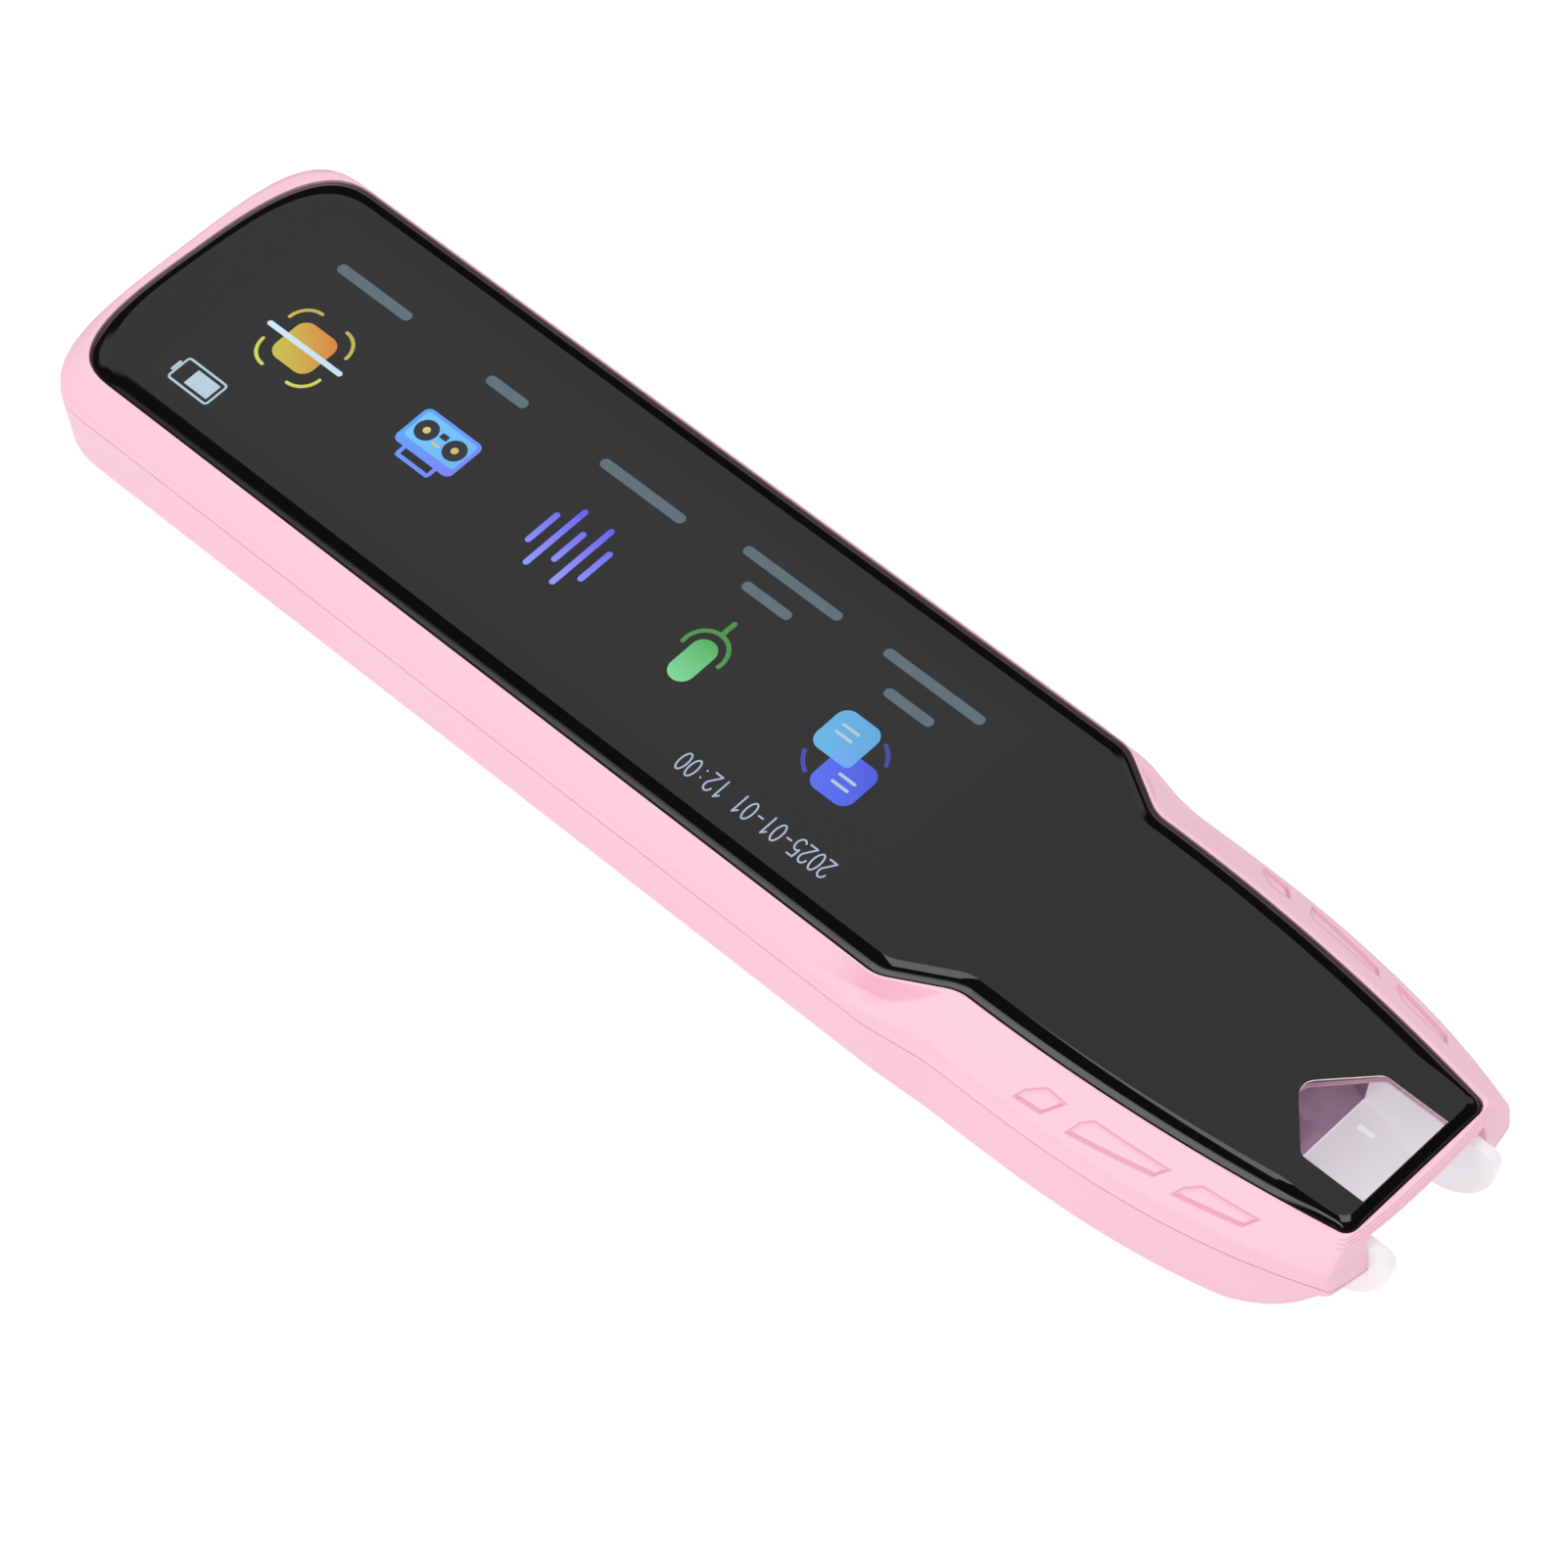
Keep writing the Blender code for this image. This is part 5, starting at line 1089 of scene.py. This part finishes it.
def buildPlayerIcon():
    # A plain portable player: a carrying handle, a body, two cones and a tuning strip
    v = iconValues["player"]
    centre, half = np.array(v["centre"]), np.array(v["half"])
    middle = centre + (0, v["rise"])
    handle = centre - (0, half[1]) + v["handle"]
    bend = [np.linspace(a, b, 6, endpoint=False) for a, b in zip(handle, handle[1:])]
    bend = stroke(np.concatenate(bend + [handle[-1:]]), v["handleWidth"], 2)
    addFigure("iconPlayerBody", [flat(roundedBox(centre, half, v["corner"]), 3), bend], "playerBlue")
    less, corner = v["front"]
    addFigure("iconPlayerFront", [flat(roundedBox(middle, half - less, corner), 4)], "playerLight")
    for name, ring, strip, level in (("Cones", "cones", "dark", 5), ("Hubs", "hubs", "amber", 6)):
        radius, end, steps = v[ring]
        places = [middle + (side * v["coneOut"], 0) for side in (-1, 1)]
        parts = [flat(arcPoints(place, radius, 0, end, steps), level) for place in places]
        shift, size, corner = v[strip]
        parts.append(flat(roundedBox(centre + shift, size, corner), 5))
        addFigure("iconPlayer" + name, parts, "player" + strip.title())


def buildBarsIcon():
    v = iconValues["bars"]
    bars = []
    for number, half in enumerate(v["halves"]):
        x = v["x"] + v["pitch"] * (number - (len(v["halves"]) - 1) / 2)
        bars.append(line((x, v["centre"] - half), (x, v["centre"] + half), v["width"], 2))
    addFigure("iconBars", bars, "barViolet")


def buildMicIcon():
    v = iconValues["mic"]
    body = roundedBox(v["centre"], v["half"], v["half"][0] * v["round"], 12)
    addFigure("iconMic", [flat(body, 2)], "micGreen")
    x, y = v["centre"][0], v["arcY"]
    cradle = arc((x, y), v["arcRadius"], 90, v["arcHalf"], 26, v["arcWidth"], 2)
    stem = line((x, y + v["arcRadius"]), (x, v["stemEnd"]), v["stemWidth"], 3)
    addFigure("iconMicArc", [cradle, stem], "micArc")


def buildTilesIcon():
    # Two overlapping tiles with a plain mark on each, and a short arc on both sides
    v = iconValues["tiles"]
    sky, blue, half = np.array(v["sky"]), np.array(v["blue"]), np.array([v["half"], v["half"]])
    addFigure("iconTileBlue", [flat(roundedBox(blue, half, v["corner"]), 2)], "tileBlue")
    addFigure("iconTileSky", [flat(roundedBox(sky, half, v["corner"]), 3)], "tileSky")
    middle = (sky + blue) / 2
    both = roundedBox(middle, half - abs(sky - blue) / 2, v["bothCorner"])
    addFigure("iconTileBoth", [flat(both, 4)], "tileBoth")
    marks = []
    for place in (sky + v["markShift"], blue - v["markShift"]):
        for rise in (-v["markRise"], v["markRise"]):
            ends = [place + (side * v["markHalf"], rise) for side in (-1, 1)]
            marks.append(line(*ends, v["markWidth"], 5))
    addFigure("iconTileMarks", marks, "paleBlue")
    arcs = [arc(middle, v["arcRadius"], turn, v["arcHalf"], 10, v["arcWidth"], 2) for turn in (45, 225)]
    addFigure("iconTileArcs", arcs, "tileArc")


for buildIcon in (buildScanIcon, buildPlayerIcon, buildBarsIcon, buildMicIcon, buildTilesIcon):
    buildIcon()

# Plain bars stand where the labels are, one for each word, as (first x, last x, y of the middle, height)
labelBars = [
    (-61.1, -51.9, 7.45, 1.05), (-42.0, -37.1, 7.35, 1.05), (-27.9, -17.8, 7.45, 1.05),
    (-9.3, -3.7, 6.1, 1.0), (-11.9, -0.4, 8.85, 1.0), (7.6, 13.1, 6.0, 1.0), (4.7, 16.2, 8.95, 1.0),
]
labelRound = 0.48


def labelSheet(first, last, y, height):
    box = roundedBox(((first + last) / 2, y), ((last - first) / 2, height / 2), height * labelRound)
    return flat(box, 2)


addFigure("labelBars", [labelSheet(*bar) for bar in labelBars], "dimBlue")

# The clock line, drawn with strokes: x runs on along the line and y up, in shares of a figure's height
clockValues = {
    "text": "2025-01-01 12:00", "start": 17.25, "end": -0.5, "base": -9.25, "height": 2.05, "width": 0.165,
    "cell": 0.6, "fill": 0.82, "side": 0.09,
}
# The strokes of each figure in a cell 0.6 wide and 1 high
figures = {
    "0": [arcPoints((0.3, 0.5), (0.26, 0.46), 90, 450, 30)],
    "1": [[(0.12, 0.78), (0.23, 0.87), (0.33, 0.95)], [(0.34, 0.97), (0.34, 0.5), (0.34, 0.03)]],
    "2": [
        [*arcPoints((0.3, 0.70), (0.25, 0.26), 170, -30, 18), (0.2, 0.22), (0.04, 0.04)],
        [(0.04, 0.04), (0.3, 0.04), (0.57, 0.04)],
    ],
    "5": [
        [(0.52, 0.96), (0.3, 0.96), (0.12, 0.96)], [(0.12, 0.96), (0.1, 0.75), (0.09, 0.54)],
        arcPoints((0.28, 0.33), (0.27, 0.30), 115, -140, 18),
    ],
    "-": [[(0.12, 0.42), (0.3, 0.42), (0.44, 0.42)]],
    ":": [[(0.3, 0.2), (0.3, 0.21), (0.3, 0.22)], [(0.3, 0.62), (0.3, 0.63), (0.3, 0.64)]],
    " ": [],
}


def buildClock():
    v = clockValues
    pitch = (v["end"] - v["start"]) / len(v["text"])
    parts = []
    for number, sign in enumerate(v["text"]):
        for path in figures[sign]:
            across, up = np.transpose(path)
            x = v["start"] + pitch * (number + across / v["cell"] * v["fill"] + v["side"])
            parts.append(stroke(np.stack([x, v["base"] - v["height"] * up], 1), v["width"], 2))
    addFigure("clockLine", parts, "clockBlue")


buildClock()
batteryMark = {
    "x": (-63.5, -58.6), "y": (-10.9, -8.25), "corner": 0.3, "line": 0.22,
    "pole": (0.3, 0.85), "poleLine": 0.3, "gap": 0.42, "fill": 0.7, "fillCorner": 0.08,
}


def buildBatteryMark():
    # A thin frame with a small pole, and a bar for the charge
    v = batteryMark
    (x0, x1), (y0, y1), gap = v["x"], v["y"], v["gap"]
    border = roundedBox(((x0 + x1) / 2, (y0 + y1) / 2), ((x1 - x0) / 2, (y1 - y0) / 2), v["corner"], 5)
    pairs = zip(border, np.roll(border, -1, 0))
    parts = [stroke([a, b], v["line"], 2) for a, b in pairs if np.hypot(*(b - a)) > 1e-6]
    out, short = v["pole"]
    parts.append(stroke([(x0 - out, y0 + short), (x0 - out, y1 - short)], v["poleLine"], 2))
    half = (x1 - x0 - 2 * gap) * v["fill"] / 2
    charge = roundedBox((x1 - gap - half, (y0 + y1) / 2), (half, (y1 - y0) / 2 - gap), v["fillCorner"], 4)
    addFigure("batteryMark", parts + [flat(charge, 2)], "paleBlue")


buildBatteryMark()
# A pale aiming mark just under the pane, whose finish gives off a faint glow of painted light
aimValues = {"centre": (67.2, -0.24), "half": (0.85, 0.26), "corner": 0.16, "drops": (0.03, 0.01)}
aimBar = roundedBox(aimValues["centre"], aimValues["half"], aimValues["corner"], 6)
aimLevels = [glassValues["top"] - glassValues["paneThick"] - drop for drop in aimValues["drops"]]
makePiece("aimMark", *prismMesh(aimBar, *aimLevels), "paleMark", "case", "printed_glass", smooth=0)
print("display built")

# The scan hood: two rounded cheeks with feet, a leaning back wall that holds the tinted plate, and a lip
hoodValues = {
    "half": 6.9, "wall": 1.2, "top": 10.5, "base": 1.9, "sill": 5.4,
    "footReach": 1.75, "footCentre": (5.7, 8.9), "footLow": 0.2, "footPower": 1.7,
    "sole": ((6.2, 0.22), (5.95, 1.2)), "ankle": 5.8, "back": 12.3, "backTop": 14.6, "backWall": 1.3,
    "lip": (8.85, 3.9), "lipBack": 0.4, "lipThick": (0.35, 1.0), "skirt": (7.1, 2.1), "skirtThick": 0.9,
    "topRound": 1.2, "edgeRound": 0.42, "innerShare": 0.6, "mostStretch": 1.6, "overlap": 0.3,
    "plateThick": 0.8, "plateRise": (0.15, 0.02), "plateOut": 0.06, "plateGap": 0.02, "earReach": 1.4,
    # the tinted sheet on each cheek: (x from the back, height from the sill), and its two gaps to the cheek
    "sheet": ((0.02, 0.1), (0.75, 3.6), (0.95, 5.12)), "sheetGaps": (0.1, 0.03), "earRoot": 0.4,
}


def cheekProfile(inset):
    # x and z of a cheek, drawn in by an inset: the foot's front is a superellipse below a rounded top corner
    v = hoodValues
    nose, wall = case["noseX"], case["noseX"] - v["backWall"]
    ahead, high = v["footCentre"]
    centre = np.subtract((nose + v["footReach"], v["top"]), v["topRound"])
    corner = arcPoints(centre, v["topRound"], 90, 0, 10)
    turn = np.linspace(0, math.pi / 2, 34)[1:]
    power = 2 / v["footPower"]
    front = np.stack([
        nose - ahead + (ahead + v["footReach"]) * np.cos(turn).clip(0) ** power,
        high - (high - v["footLow"]) * np.sin(turn) ** power,
    ], 1)
    points = np.concatenate([corner, front, [
        *((nose - x, z) for x, z in v["sole"]), (nose - v["ankle"], v["base"]), (wall - v["back"], v["base"]),
        (wall - v["back"], v["sill"]), (wall - v["backTop"], v["top"]),
    ]])
    points = points[np.r_[True, np.hypot(*np.diff(points, axis=0).T) > 1e-4]]
    before, after = unit(points - np.roll(points, 1, 0)), unit(np.roll(points, -1, 0) - points)
    way = unit(before + after)
    inward = np.stack([way[:, 1], -way[:, 0]], 1)
    stretch = np.clip(1 / np.maximum((way * before).sum(1), 0.5), 1, v["mostStretch"])[:, None]
    return points + inward * inset * stretch


def cheekMesh(side):
    # The profile carried across the cheek, drawn in by a quarter circle at both faces
    v = hoodValues
    inner, edge = v["half"] - v["wall"], v["edgeRound"]
    soft = edge * v["innerShare"]
    turns = np.linspace(0, math.pi / 2, 5)
    rows = [(inner + soft * (1 - math.cos(turn)), soft * (1 - math.sin(turn))) for turn in turns]
    turns = np.linspace(0, math.pi / 2, 6)
    rows += [(v["half"] - edge * (1 - math.sin(turn)), edge * (1 - math.cos(turn))) for turn in turns]
    return loftMesh([placed(cheekProfile(inset), side * y, 1) for y, inset in rows])


def acrossMesh(profile, near, far, side=1):
    return prismMesh(profile, *sorted((side * near, side * far)), axis=1)


def buildHood():
    v = hoodValues
    nose, base, sill, top, thick = case["noseX"], v["base"], v["sill"], v["top"], v["backWall"]
    back, face = nose - v["back"], v["half"] - v["wall"]
    lean = (v["backTop"] - v["back"]) / (top - sill)
    wallTop, inner = back - lean * (top - sill), face + v["overlap"]
    wall = [(back - thick, base), (back, base), (back, sill)]
    wall += [(wallTop, top), (wallTop - thick, top), (back - thick, sill)]
    (lipX, lipZ), (skirtX, skirtZ) = ((nose - x, z) for x, z in (v["lip"], v["skirt"]))
    lipRoot, (lipOver, lipDeep) = back - v["lipBack"], v["lipThick"]
    lip = [(lipRoot, sill), (lipX, lipZ), (skirtX, skirtZ), (skirtX - v["skirtThick"], skirtZ)]
    lip += [(lipX - lipOver, lipZ - lipDeep), (lipRoot, sill - lipDeep)]
    ear = rectangle((back - thick, base), (back, sill))
    parts = [cheekMesh(-1), cheekMesh(1), acrossMesh(wall, -inner, inner), acrossMesh(lip, -inner, inner)]
    parts += [acrossMesh(ear, v["half"] - v["earRoot"], v["half"] + v["earReach"], side) for side in (1, -1)]
    body = joinMeshes(parts)
    # the hood's milky finish glows with painted light
    makePiece("hoodBody", *body, "milkyPlastic", "scan_hood", "milky_plastic", ("scan_hood",), smooth=40)
    (rise, over), out = v["plateRise"], v["plateOut"]
    lowX, highX, low, high = back - lean * rise + out, wallTop + out, sill + rise, top + over
    plate = [(lowX, low), (highX, high), (highX - v["plateThick"], high), (lowX - v["plateThick"], low)]
    sheet = [(back + x, sill + z) for x, z in v["sheet"]] + [(wallTop, high)]
    parts = [acrossMesh(plate, -face + v["plateGap"], face - v["plateGap"])]
    parts += [acrossMesh(sheet, *(face - gap for gap in v["sheetGaps"]), side) for side in (1, -1)]
    sheets = joinMeshes(parts)
    makePiece("hoodPlate", *sheets, "tintedPlate", "scan_hood", "tinted_plate", ("camera_window",), smooth=0)


buildHood()
print("hood built")

# Return springs
springValues = {
    "wire": 0.15, "turns": 5.0, "flatTurns": 0.8, "ease": 0.02, "travel": 1.2, "steps": 150, "round": 12,
}


def buildSpring(name, node):
    # A wire wound along x with close turns at both ends
    v = springValues
    low, high = boxOf(node)
    margin, middle = v["wire"] + v["ease"], (low + high) / 2
    along = np.linspace(0, 1, v["steps"])
    turn = 2 * math.pi * v["turns"] * along
    flat = v["flatTurns"] / v["turns"]
    lift = smoothStep((along - flat * 0.5) / (1 - flat))
    x = high[0] - margin - (high[0] - low[0] - 2 * margin) * (0.5 * lift + 0.5 * along)
    outward = np.stack([np.zeros_like(turn), np.cos(turn), np.sin(turn)], 1)
    centre = placed(np.tile(middle[1:], (len(x), 1)), x, 0) + ((high[2] - low[2]) / 2 - margin) * outward
    around = np.linspace(0, 2 * math.pi, v["round"], endpoint=False)[:, None]
    ring = outward[:, None] * np.cos(around) + np.array([1.0, 0, 0]) * np.sin(around)
    rings = list(centre[:, None] + v["wire"] * ring)
    coil = makePiece(name, *loftMesh(rings), "springSteel", "case", "spring_steel", (node,))
    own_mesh(coil)


buildSpring("returnCoilNear", "return_spring_near")
buildSpring("returnCoilFar", "return_spring_far")
print("springs built")
